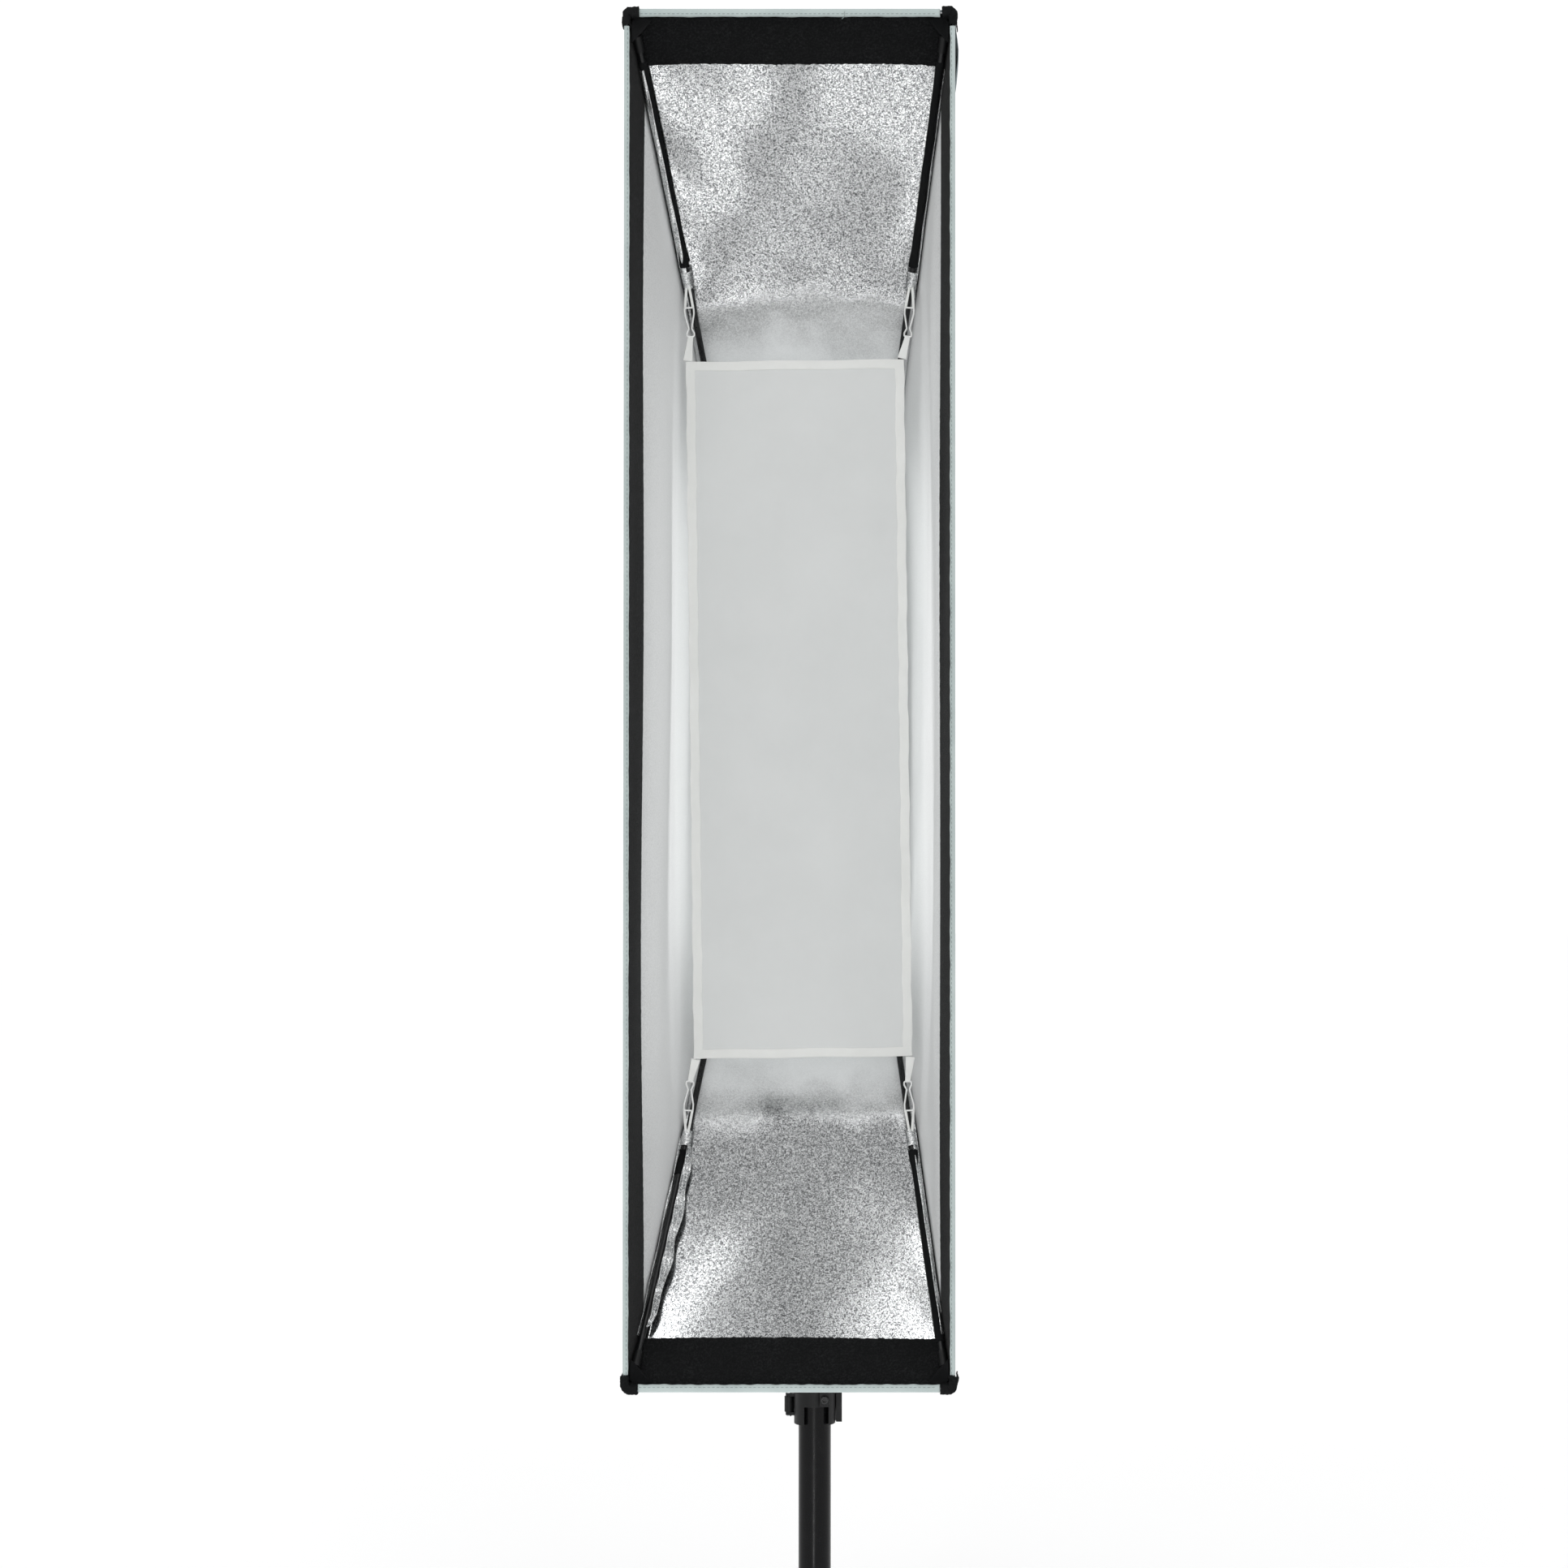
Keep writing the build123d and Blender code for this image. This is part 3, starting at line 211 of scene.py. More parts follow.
def across_frames(path):
    """Two unit directions square to a path at each of its points, the first as level as it can be."""
    along = np.gradient(path, axis=0)
    along /= np.linalg.norm(along, axis=1, keepdims=True)
    side = np.cross(along, [0.0, 1.0, 0.0])
    side /= np.linalg.norm(side, axis=1, keepdims=True)
    return side, np.cross(side, along)


def carried(path, profile):
    """A profile carried along a path: path point + first coordinate times side + second times up.
    profile is (columns, 2), or (rows, columns, 2) where it changes on the way."""
    side, up = across_frames(path)
    profile = np.broadcast_to(profile, (len(path),) + profile.shape[-2:])
    return path[:, None] + profile[..., :1] * side[:, None] + profile[..., 1:] * up[:, None]


def soft_section(wide, thick, columns=16, squareness=0.55):
    """A closed rounded-rectangle section: half sizes times cosine and sine to a power."""
    turn = np.linspace(0, 2 * np.pi, columns, endpoint=False)
    c, s = np.cos(turn), np.sin(turn)
    return np.stack(
        [wide / 2 * np.sign(c) * np.abs(c) ** squareness,
         thick / 2 * np.sign(s) * np.abs(s) ** squareness], -1
    )


def mirrored(points, corner):
    """A shape made for the top right corner, moved to another one and up to the box's centre."""
    x, z = CORNERS[corner]
    return points * [x, 1, z] + [0, 0, CENTRE_Z]


# ---------------------------------------------------------------- materials
def lay_out(nodes, effects):
    """Puts each effect's nodes in a row inside a labelled frame."""
    for row, (label, members) in enumerate(effects.items()):
        group = nodes.new("NodeFrame")
        group.label = label
        for column, node in enumerate(members):
            node.parent = group
            node.location = (220 * column, -360 * row)


def woven(name, colour, shade, pitch, relief, roughness, sheen, specular=0.25):
    """Plain woven cloth: crossed thread waves on the piece's own lengths, with uneven dye."""
    material = bpy.data.materials.new(name)
    material.use_nodes = True
    nodes, links = material.node_tree.nodes, material.node_tree.links
    nodes.clear()
    lengths = nodes.new("ShaderNodeTexCoord")
    lengths.label = "lengths along the cloth"
    warp = nodes.new("ShaderNodeTexWave")
    warp.label = "warp threads"
    warp.bands_direction = "X"
    warp.inputs["Scale"].default_value = 0.32 / pitch
    warp.inputs["Distortion"].default_value = 0.6
    weft = nodes.new("ShaderNodeTexWave")
    weft.label = "weft threads"
    weft.bands_direction = "Y"
    weft.inputs["Scale"].default_value = 0.32 / pitch
    weft.inputs["Distortion"].default_value = 0.6
    crossing = nodes.new("ShaderNodeMath")
    crossing.label = "threads crossing"
    crossing.operation = "MAXIMUM"
    slubs = nodes.new("ShaderNodeTexNoise")
    slubs.label = "slubs and fuzz"
    slubs.inputs["Scale"].default_value = 1400.0
    slubs.inputs["Detail"].default_value = 2.0
    height = nodes.new("ShaderNodeMath")
    height.label = "thread height with fuzz"
    height.operation = "ADD"
    bump = nodes.new("ShaderNodeBump")
    bump.label = "weave relief"
    bump.inputs["Strength"].default_value = relief
    bump.inputs["Distance"].default_value = 0.0004
    dye = nodes.new("ShaderNodeTexNoise")
    dye.label = "uneven dye and soiling"
    dye.inputs["Scale"].default_value = 14.0
    dye.inputs["Detail"].default_value = 6.0
    dye.inputs["Roughness"].default_value = 0.65
    dye_range = nodes.new("ShaderNodeMapRange")
    dye_range.label = "how far the dye varies"
    dye_range.inputs["From Min"].default_value = 0.3
    dye_range.inputs["From Max"].default_value = 0.7
    tint = nodes.new("ShaderNodeMix")
    tint.label = "cloth colour"
    tint.data_type = "RGBA"
    tint.inputs["A"].default_value = (*colour, 1)
    tint.inputs["B"].default_value = (*shade, 1)
    cloth = nodes.new("ShaderNodeBsdfPrincipled")
    cloth.label = "cloth"
    cloth.inputs["Roughness"].default_value = roughness
    cloth.inputs["Sheen Weight"].default_value = sheen
    cloth.inputs["Sheen Roughness"].default_value = 0.5
    cloth.inputs["Specular IOR Level"].default_value = specular
    surface = nodes.new("ShaderNodeOutputMaterial")
    surface.label = "cloth surface"
    links.new(lengths.outputs["UV"], warp.inputs["Vector"])
    links.new(lengths.outputs["UV"], weft.inputs["Vector"])
    links.new(lengths.outputs["Object"], slubs.inputs["Vector"])
    links.new(lengths.outputs["Object"], dye.inputs["Vector"])
    links.new(warp.outputs["Fac"], crossing.inputs[0])
    links.new(weft.outputs["Fac"], crossing.inputs[1])
    links.new(crossing.outputs["Value"], height.inputs[0])
    links.new(slubs.outputs["Fac"], height.inputs[1])
    links.new(height.outputs["Value"], bump.inputs["Height"])
    links.new(dye.outputs["Fac"], dye_range.inputs["Value"])
    links.new(dye_range.outputs["Result"], tint.inputs["Factor"])
    links.new(tint.outputs["Result"], cloth.inputs["Base Color"])
    links.new(bump.outputs["Normal"], cloth.inputs["Normal"])
    links.new(cloth.outputs["BSDF"], surface.inputs["Surface"])
    lay_out(nodes, {
        "weave": (lengths, warp, weft, crossing, slubs, height, bump),
        "dye": (dye, dye_range, tint),
        "result": (cloth, surface),
    })
    return material


def foil_cloth(name, grain_ends, dark, light, deep_tone_with_painted_light, metallic, roughness, relief):
    """Metallised lining: a worm-like pebbled grain in the front, fading out deeper in the box, with soft creases.
    The metal look and the gloss are gone where the grain has half faded. The even colour deeper in is partly the
    smoother foil and partly painted light: it is made lighter in place of the light the foil reflects there."""
    material = bpy.data.materials.new(name)
    material.use_nodes = True
    nodes, links = material.node_tree.nodes, material.node_tree.links
    nodes.clear()
    place = nodes.new("ShaderNodeTexCoord")
    place.label = "place in the box"
    worms = nodes.new("ShaderNodeTexNoise")
    worms.label = "worm-like pebbles"
    worms.inputs["Scale"].default_value = 680.0
    worms.inputs["Detail"].default_value = 1.6
    worms.inputs["Roughness"].default_value = 0.55
    worms.inputs["Distortion"].default_value = 1.4
    contrast = nodes.new("ShaderNodeMapRange")
    contrast.label = "pebble contrast"
    contrast.inputs["From Min"].default_value = 0.40
    contrast.inputs["From Max"].default_value = 0.60
    depth = nodes.new("ShaderNodeSeparateXYZ")
    depth.label = "depth behind the mouth"
    patches = nodes.new("ShaderNodeTexNoise")
    patches.label = "patches of stronger grain"
    patches.inputs["Scale"].default_value = 16.0
    patches.inputs["Detail"].default_value = 4.0
    ragged = nodes.new("ShaderNodeMath")
    ragged.label = "ragged end of the grain"
    ragged.operation = "MULTIPLY_ADD"
    ragged.inputs[1].default_value = 0.05
    fade = nodes.new("ShaderNodeMapRange")
    fade.label = "grain fades deeper in"
    fade.interpolation_type = "SMOOTHSTEP"
    fade.inputs["From Min"].default_value = grain_ends[0]
    fade.inputs["From Max"].default_value = grain_ends[1]
    fade.inputs["To Min"].default_value = 1.0
    fade.inputs["To Max"].default_value = 0.10
    grain = nodes.new("ShaderNodeMix")
    grain.label = "pebbles from dark to light"
    grain.data_type = "RGBA"
    grain.inputs["A"].default_value = (*dark, 1)
    grain.inputs["B"].default_value = (*light, 1)
    # painted light: deeper in, the grain gives way to the even deep colour, lighter than the grain on the top and
    # bottom walls, in place of the light the foil reflects there
    tone = nodes.new("ShaderNodeMix")
    tone.label = "grain over the smooth foil"
    tone.data_type = "RGBA"
    tone.inputs["A"].default_value = (*deep_tone_with_painted_light, 1)
    pebble_bump = nodes.new("ShaderNodeBump")
    pebble_bump.label = "pebble relief"
    pebble_bump.inputs["Distance"].default_value = relief
    creases = nodes.new("ShaderNodeTexNoise")
    creases.label = "soft creases"
    creases.inputs["Scale"].default_value = 38.0
    creases.inputs["Detail"].default_value = 3.0
    creases.inputs["Distortion"].default_value = 0.8
    crease_bump = nodes.new("ShaderNodeBump")
    crease_bump.label = "crease relief"
    crease_bump.inputs["Strength"].default_value = 0.012
    crease_bump.inputs["Distance"].default_value = 0.004
    metal = nodes.new("ShaderNodeMapRange")
    metal.label = "metal shows less deeper in"
    metal.inputs["From Min"].default_value = 0.55
    metal.inputs["To Min"].default_value = 0.04
    metal.inputs["To Max"].default_value = metallic
    gloss = nodes.new("ShaderNodeMapRange")
    gloss.label = "duller deeper in"
    gloss.inputs["From Min"].default_value = 0.55
    gloss.inputs["To Min"].default_value = 0.62
    gloss.inputs["To Max"].default_value = roughness
    foil = nodes.new("ShaderNodeBsdfPrincipled")
    foil.label = "metallised cloth"
    surface = nodes.new("ShaderNodeOutputMaterial")
    surface.label = "lining surface"
    links.new(place.outputs["Object"], worms.inputs["Vector"])
    links.new(place.outputs["Object"], depth.inputs["Vector"])
    links.new(place.outputs["Object"], patches.inputs["Vector"])
    links.new(place.outputs["Object"], creases.inputs["Vector"])
    links.new(worms.outputs["Fac"], contrast.inputs["Value"])
    links.new(patches.outputs["Fac"], ragged.inputs[0])
    links.new(depth.outputs["Y"], ragged.inputs[2])
    links.new(ragged.outputs["Value"], fade.inputs["Value"])
    links.new(contrast.outputs["Result"], grain.inputs["Factor"])
    links.new(fade.outputs["Result"], tone.inputs["Factor"])
    links.new(grain.outputs["Result"], tone.inputs["B"])
    links.new(fade.outputs["Result"], metal.inputs["Value"])
    links.new(fade.outputs["Result"], gloss.inputs["Value"])
    links.new(metal.outputs["Result"], foil.inputs["Metallic"])
    links.new(gloss.outputs["Result"], foil.inputs["Roughness"])
    links.new(tone.outputs["Result"], foil.inputs["Base Color"])
    links.new(contrast.outputs["Result"], pebble_bump.inputs["Height"])
    links.new(fade.outputs["Result"], pebble_bump.inputs["Strength"])
    links.new(creases.outputs["Fac"], crease_bump.inputs["Height"])
    links.new(crease_bump.outputs["Normal"], pebble_bump.inputs["Normal"])
    links.new(pebble_bump.outputs["Normal"], foil.inputs["Normal"])
    links.new(foil.outputs["BSDF"], surface.inputs["Surface"])
    lay_out(nodes, {
        "pebbled grain": (place, worms, contrast, grain, pebble_bump),
        "fade with depth": (depth, patches, ragged, fade, tone, metal, gloss),
        "creases": (creases, crease_bump),
        "result": (foil, surface),
    })
    return material


def brushed_loop(name, low, high):
    """Loop pile of a touch fastener: tiny loops as rounded cells, matted in slow patches."""
    material = bpy.data.materials.new(name)
    material.use_nodes = True
    nodes, links = material.node_tree.nodes, material.node_tree.links
    nodes.clear()
    place = nodes.new("ShaderNodeTexCoord")
    place.label = "place on the band"
    loops = nodes.new("ShaderNodeTexNoise")
    loops.label = "tangled loops"
    loops.inputs["Scale"].default_value = 520.0
    loops.inputs["Detail"].default_value = 3.0
    loops.inputs["Roughness"].default_value = 0.7
    lit = nodes.new("ShaderNodeMapRange")
    lit.label = "loops that catch the light"
    lit.inputs["From Min"].default_value = 0.46
    lit.inputs["From Max"].default_value = 0.72
    matting = nodes.new("ShaderNodeTexNoise")
    matting.label = "matted patches"
    matting.inputs["Scale"].default_value = 30.0
    matting.inputs["Detail"].default_value = 4.0
    combed = nodes.new("ShaderNodeMath")
    combed.label = "loops in their patches"
    combed.operation = "MULTIPLY"
    pile = nodes.new("ShaderNodeMix")
    pile.label = "pile colour"
    pile.data_type = "RGBA"
    pile.inputs["A"].default_value = (*low, 1)
    pile.inputs["B"].default_value = (*high, 1)
    bump = nodes.new("ShaderNodeBump")
    bump.label = "loop relief"
    bump.inputs["Strength"].default_value = 0.9
    bump.inputs["Distance"].default_value = 0.0012
    cloth = nodes.new("ShaderNodeBsdfPrincipled")
    cloth.label = "loop pile"
    cloth.inputs["Roughness"].default_value = 0.95
    cloth.inputs["Specular IOR Level"].default_value = 0.12
    cloth.inputs["Sheen Weight"].default_value = 0.05
    surface = nodes.new("ShaderNodeOutputMaterial")
    surface.label = "band surface"
    links.new(place.outputs["Object"], loops.inputs["Vector"])
    links.new(place.outputs["Object"], matting.inputs["Vector"])
    links.new(loops.outputs["Fac"], lit.inputs["Value"])
    links.new(lit.outputs["Result"], combed.inputs[0])
    links.new(matting.outputs["Fac"], combed.inputs[1])
    links.new(combed.outputs["Value"], pile.inputs["Factor"])
    links.new(loops.outputs["Fac"], bump.inputs["Height"])
    links.new(pile.outputs["Result"], cloth.inputs["Base Color"])
    links.new(bump.outputs["Normal"], cloth.inputs["Normal"])
    links.new(cloth.outputs["BSDF"], surface.inputs["Surface"])
    lay_out(nodes, {
        "loops": (place, loops, lit, bump),
        "matting": (matting, combed, pile),
        "result": (cloth, surface),
    })
    return material


def hard_finish(name, colour, worn, metallic, roughness, stretch, grain_scale, relief, specular=0.5):
    """Metal, lacquer or moulded plastic: a stretched tool or mould grain in the relief and gloss,
    and handling marks in the colour."""
    material = bpy.data.materials.new(name)
    material.use_nodes = True
    nodes, links = material.node_tree.nodes, material.node_tree.links
    nodes.clear()
    place = nodes.new("ShaderNodeTexCoord")
    place.label = "place on the part"
    direction = nodes.new("ShaderNodeMapping")
    direction.label = "direction of the grain"
    direction.inputs["Scale"].default_value = stretch
    grain = nodes.new("ShaderNodeTexNoise")
    grain.label = "tool or mould grain"
    grain.inputs["Scale"].default_value = grain_scale
    grain.inputs["Detail"].default_value = 3.0
    bump = nodes.new("ShaderNodeBump")
    bump.label = "grain relief"
    bump.inputs["Strength"].default_value = relief
    bump.inputs["Distance"].default_value = 0.0003
    gloss = nodes.new("ShaderNodeMapRange")
    gloss.label = "gloss varies with the grain"
    gloss.inputs["From Min"].default_value = 0.3
    gloss.inputs["From Max"].default_value = 0.7
    gloss.inputs["To Min"].default_value = roughness * 0.8
    gloss.inputs["To Max"].default_value = min(1.0, roughness * 1.25)
    handling = nodes.new("ShaderNodeTexNoise")
    handling.label = "handling marks"
    handling.inputs["Scale"].default_value = 55.0
    handling.inputs["Detail"].default_value = 7.0
    handling.inputs["Roughness"].default_value = 0.7
    marks = nodes.new("ShaderNodeMapRange")
    marks.label = "only the strongest marks"
    marks.inputs["From Min"].default_value = 0.52
    marks.inputs["From Max"].default_value = 0.80
    tint = nodes.new("ShaderNodeMix")
    tint.label = "colour with marks"
    tint.data_type = "RGBA"
    tint.inputs["A"].default_value = (*colour, 1)
    tint.inputs["B"].default_value = (*worn, 1)
    body = nodes.new("ShaderNodeBsdfPrincipled")
    body.label = "solid finish"
    body.inputs["Metallic"].default_value = metallic
    body.inputs["Specular IOR Level"].default_value = specular
    surface = nodes.new("ShaderNodeOutputMaterial")
    surface.label = "finished surface"
    links.new(place.outputs["Object"], direction.inputs["Vector"])
    links.new(direction.outputs["Vector"], grain.inputs["Vector"])
    links.new(place.outputs["Object"], handling.inputs["Vector"])
    links.new(grain.outputs["Fac"], bump.inputs["Height"])
    links.new(grain.outputs["Fac"], gloss.inputs["Value"])
    links.new(gloss.outputs["Result"], body.inputs["Roughness"])
    links.new(handling.outputs["Fac"], marks.inputs["Value"])
    links.new(marks.outputs["Result"], tint.inputs["Factor"])
    links.new(tint.outputs["Result"], body.inputs["Base Color"])
    links.new(bump.outputs["Normal"], body.inputs["Normal"])
    links.new(body.outputs["BSDF"], surface.inputs["Surface"])
    lay_out(nodes, {
        "grain": (place, direction, grain, bump, gloss),
        "handling": (handling, marks, tint),
        "result": (body, surface),
    })
    return material


EVEN = (1, 1, 1)
shell_cloth = woven("shell_cloth", (0.17, 0.205, 0.215), (0.13, 0.16, 0.17), 0.0006, 0.5, 0.75, 0.1)
rim_tape = woven("rim_tape", (0.50, 0.565, 0.555), (0.41, 0.475, 0.47), 0.0007, 0.7, 0.7, 0.1)
black_tape = woven("black_tape", (0.0055, 0.006, 0.0065), (0.011, 0.0115, 0.012), 0.0007, 0.8, 0.9, 0.0, 0.08)
white_tape = woven("white_tape", (0.88, 0.89, 0.87), (0.82, 0.83, 0.81), 0.0006, 0.6, 0.7, 0.05)
white_scrim = woven("white_scrim", (0.67, 0.685, 0.68), (0.64, 0.655, 0.65), 0.0005, 0.35, 0.8, 0.05)
# the third colour of each foil is its even deep colour; the near-white one of the top and bottom walls is painted
# light
silver_foil = foil_cloth("silver_foil", (-0.262, -0.215), (0.060, 0.063, 0.066), (0.45, 0.458, 0.46),
                         (0.93, 0.945, 0.95),
                         0.96, 0.11, 0.000008)
side_foil = foil_cloth("side_foil", (-0.44, -0.30), (0.52, 0.53, 0.53), (0.84, 0.85, 0.85),
                       (0.76, 0.77, 0.77),
                       0.30, 0.36, 0.00012)
crumpled_foil = foil_cloth("crumpled_foil", (0.5, 0.6), (0.30, 0.31, 0.315), (0.90, 0.91, 0.91),
                           (0.8, 0.8, 0.8),
                           0.9, 0.22, 0.0001)
loop_pile = brushed_loop("loop_pile", (0.0022, 0.0025, 0.0028), (0.022, 0.023, 0.024))

FINISHES = {
    "black_steel": hard_finish("black_rod_enamel", (0.006, 0.0065, 0.007), (0.02, 0.02, 0.02), 0.0, 0.30,
                               EVEN, 900, 0.15, 0.3),
    "bright_steel": hard_finish("bright_steel", (0.62, 0.63, 0.64), (0.42, 0.42, 0.42), 1.0, 0.26,
                                (1, 1, 8), 700, 0.12),
    "bare_aluminium": hard_finish("cast_aluminium", (0.56, 0.57, 0.58), (0.40, 0.41, 0.42), 1.0, 0.42, EVEN,
                                  900, 0.35),
    "black_aluminium": hard_finish("black_anodised", (0.012, 0.013, 0.014), (0.03, 0.03, 0.03), 0.2, 0.38,
                                   EVEN, 1500, 0.18, 0.3),
    "black_tube": hard_finish("black_tube_lacquer", (0.003, 0.003, 0.0034), (0.007, 0.007, 0.0075), 0.0,
                              0.24, (1, 1, 0.15),
                              600, 0.05, 0.15),
    "black_plastic": hard_finish("black_nylon", (0.006, 0.0063, 0.0066), (0.016, 0.016, 0.0165), 0.0, 0.42,
                                 EVEN, 2200, 0.35, 0.2),
    "white_wire": hard_finish("white_wire_enamel", (0.74, 0.75, 0.74), (0.55, 0.55, 0.54), 0.0, 0.3, EVEN,
                              1200, 0.1),
    "black_fabric": black_tape,
    "white_fabric": white_tape,
    "diffusion_cloth": white_scrim,
    "outer_fabric": shell_cloth,
    "silver_lining": silver_foil,
    "black_loop": loop_pile,
    "rim_tape": rim_tape,
}
for part in frame["record"]["subparts"]:
    for holder in frame["nodes"][part["node"]].material_slots:
        holder.material = FINISHES[part["material_slot"]]

# ---------------------------------------------------------------- walls of the box
BOX_AXIS = (0.0, -0.30, CENTRE_Z)
BAND_SHARE = 0.0505 / 0.678  # of the seam, along the top and bottom
BAND_SIDE_SHARE = 0.0415 / 0.372  # of the side walls' slope
EDGE_BOW = {"top": -0.055, "bottom": 0.03, "left": 0.0, "right": 0.0}


def knuckled(share, across):
    """The outer cloth pushed out beside the top right corner: a swell fading over the distance."""
    return -0.0062 * np.exp(-(((across - 0.935) / 0.030) ** 2) - ((share - 0.05) / 0.06) ** 2)


def seam_pull(side):
    """Short pleats that run in from both seams and die away, deeper towards the mouth."""
    phase = 2 * np.pi * dice.uniform(size=2)

    def swell(share, across):
        near = np.exp(-(1 - np.abs(across)) / 0.10) * (1 - np.abs(across) ** 12)
        pleats = np.sin(34 * share + 9 * np.abs(across) + np.where(across > 0, phase[0], phase[1]))
        return 0.0011 * near * pleats * np.clip(share / 0.1, 0, 1) * np.clip((1 - share) / 0.3, 0, 1)

    return swell


for side in SIDES:
    tall = side in ("left", "right")
    true_wall = wall(side, *np.meshgrid(np.linspace(0, 1, 60), np.linspace(-1, 1, 60), indexing="ij"), 0.001)
    outer = facing(
        wall_grid(side, 0.0, 90 if tall else 130, 130 if tall else 60,
                  swell=knuckled if side == "right" else None),
        BOX_AXIS, inward=False,
    )
    shell = piece(f"shell_cloth_{side}", [(outer, "sheet")], shell_cloth, BOX_BODY,
                  [f"shell_{side}"], OUTER_SKIN)
    inner = facing(wall_grid(side, LINING_FACE, 150 if tall else 220, 240 if tall else 120,
                             swell=seam_pull(side)), BOX_AXIS)
    lining = piece(f"lining_cloth_{side}", [(inner, "sheet")], side_foil if tall else silver_foil, BOX_BODY,
                   [f"lining_{side}"], LINING_THICK)

    band_share = BAND_SIDE_SHARE if tall else BAND_SHARE
    share, across = np.meshgrid(np.linspace(0, 1, 30), np.linspace(-1, 1, 420 if tall else 160),
                                indexing="ij")
    fray = np.cumsum(dice.normal(size=across.shape[1]))
    fray = 0.010 * (fray - np.linspace(fray[0], fray[-1], len(fray))) / max(1.0, np.abs(fray).max())
    edge = band_share * (1 + 0.5 * fray + EDGE_BOW[side] * (1 - across[0] ** 2)
                         + 0.006 * dice.normal(size=across.shape[1]))
    share = share * edge
    band_points = facing(wall(side, share, across, BAND_FACE + ripple(side, share, across)), BOX_AXIS)
    band = piece(f"loop_band_cloth_{side}", [(band_points, "sheet")], loop_pile, BOX_BODY,
                 [f"loop_band_{side}"], BAND_THICK)


# ---------------------------------------------------------------- rim binding and its stitches
def edge_strip(side, samples):
    """The mouth's edge line of one side between its corner pockets, as points and inward directions."""
    flat = side in ("top", "bottom")
    sign = 1 if side in ("top", "right") else -1
    low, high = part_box(f"rim_binding_{side}")
    t = np.linspace(0, 1, samples)
    zero, one = np.zeros(samples), np.ones(samples)
    if flat:
        line = np.stack([low.x + (high.x - low.x) * t, zero, (high.z if sign > 0 else low.z) * one], -1)
        return line, np.array([0, 0, -sign]), high.z - low.z
    line = np.stack([(high.x if sign > 0 else low.x) * one, zero, low.z + (high.z - low.z) * t], -1)
    return line, np.array([-sign, 0, 0]), high.x - low.x


RIM_DEEP = 0.0044
STITCH_PITCH = 0.0042
stitches = []
for side in SIDES:
    samples = 150 if side in ("top", "bottom") else 560
    line, inward, wide = edge_strip(side, samples)
    length = np.linalg.norm(line[-1] - line[0])
    run = np.linspace(0, length, samples)
    wander = sum(
        dice.uniform(0.3, 1.0) * np.sin(2 * np.pi * run / wave + dice.uniform(0, 6))
        for wave in (0.11, 0.047, 0.023, 0.012)
    )
    width = wide * (0.94 + 0.028 * wander)
    turn = np.linspace(0, 2 * np.pi, 20, endpoint=False)
    c = np.sign(np.cos(turn)) * np.abs(np.cos(turn)) ** 0.5
    s = np.sign(np.sin(turn)) * np.abs(np.sin(turn)) ** 0.6
    inset = width[:, None] / 2 * (1 + c)
    seam_line = wide * 0.66
    dent = np.exp(-(((inset - seam_line) / 0.0009) ** 2)) * (
        0.65 + 0.35 * np.cos(2 * np.pi * run / STITCH_PITCH))[:, None]
    half_deep = RIM_DEEP / 2 - 0.00045 * dent
    y = RIM_FRONT + RIM_DEEP / 2 + half_deep * s
    points = line[:, None] + inset[..., None] * inward
    points[..., 1] = y
    piece(f"rim_tape_{side}", [(points, "tube")], rim_tape, BOX_BODY, [f"rim_binding_{side}"])
    count = int(length / STITCH_PITCH)
    for k in range(count):
        middle = (k + 0.5) * STITCH_PITCH
        t = np.linspace(-1, 1, 5)
        size = np.sqrt(np.clip(1 - t**2 * 0.9, 0, 1)) * 0.00036
        where = middle + t * 0.00135
        spot = np.stack([np.interp(where, run, line[:, n]) for n in range(3)], -1)
        spot = spot + seam_line * inward
        spot[:, 1] = RIM_FRONT + 0.00012
        around = np.linspace(0, 2 * np.pi, 6, endpoint=False)
        ring = size[:, None, None] * (np.cos(around)[:, None] * inward
                                      + np.sin(around)[:, None] * np.array([0, 1, 0]))
        stitches.append((spot[:, None] + ring, "tube"))
t = np.linspace(0, 1, 14)
loose = np.stack([0.048 + 0.004 * t + 0.0012 * np.sin(5 * t), RIM_FRONT - 0.0003 - 0.0016 * np.sin(np.pi * t),
                  CENTRE_Z + HALF_HEIGHT - 0.0100 + 0.0068 * t], -1)
stitches.append((carried(loose, soft_section(0.0006, 0.0006, 6, 1.0)), "tube"))
seam_thread = woven("seam_thread", (0.30, 0.355, 0.35), (0.24, 0.28, 0.28), 0.0003, 0.4, 0.7, 0.0)
piece("rim_stitches", stitches, seam_thread, BOX_BODY)

# ---------------------------------------------------------------- corner pockets
POCKET_REAR_Y, POCKET_FRONT_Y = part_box("corner_pocket_top_right")[1].y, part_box("corner_pocket_top_right")[0].y
POCKET_PROUD = 0.0021
REACH = {"top_right": (0.0120, 0.0150), "top_left": (0.0135, 0.0150), "bottom_right": (0.0135, 0.0150),
         "bottom_left": (0.0135, 0.0150)}


def around_corner(reach_x, reach_z, out_x, out_z, bend, samples=41):
    """A line along the top edge, round the corner and down the side: the two straight runs are
    joined by a quarter turn of the given bend, sampled evenly by length."""
    x, z = HALF_WIDTH + out_x, HALF_HEIGHT + out_z
    turn = np.linspace(np.pi / 2, 0, 12)
    corner = np.stack([x - bend + bend * np.cos(turn), z - bend + bend * np.sin(turn)], -1)
    line = np.concatenate([[[HALF_WIDTH - reach_x, z]], corner, [[x, HALF_HEIGHT - reach_z]]])
    run = np.concatenate([[0], np.linalg.norm(np.diff(line, axis=0), axis=1).cumsum()])
    even = np.linspace(0, run[-1], samples)
    return np.stack([np.interp(even, run, line[:, 0]), np.interp(even, run, line[:, 1])], -1)


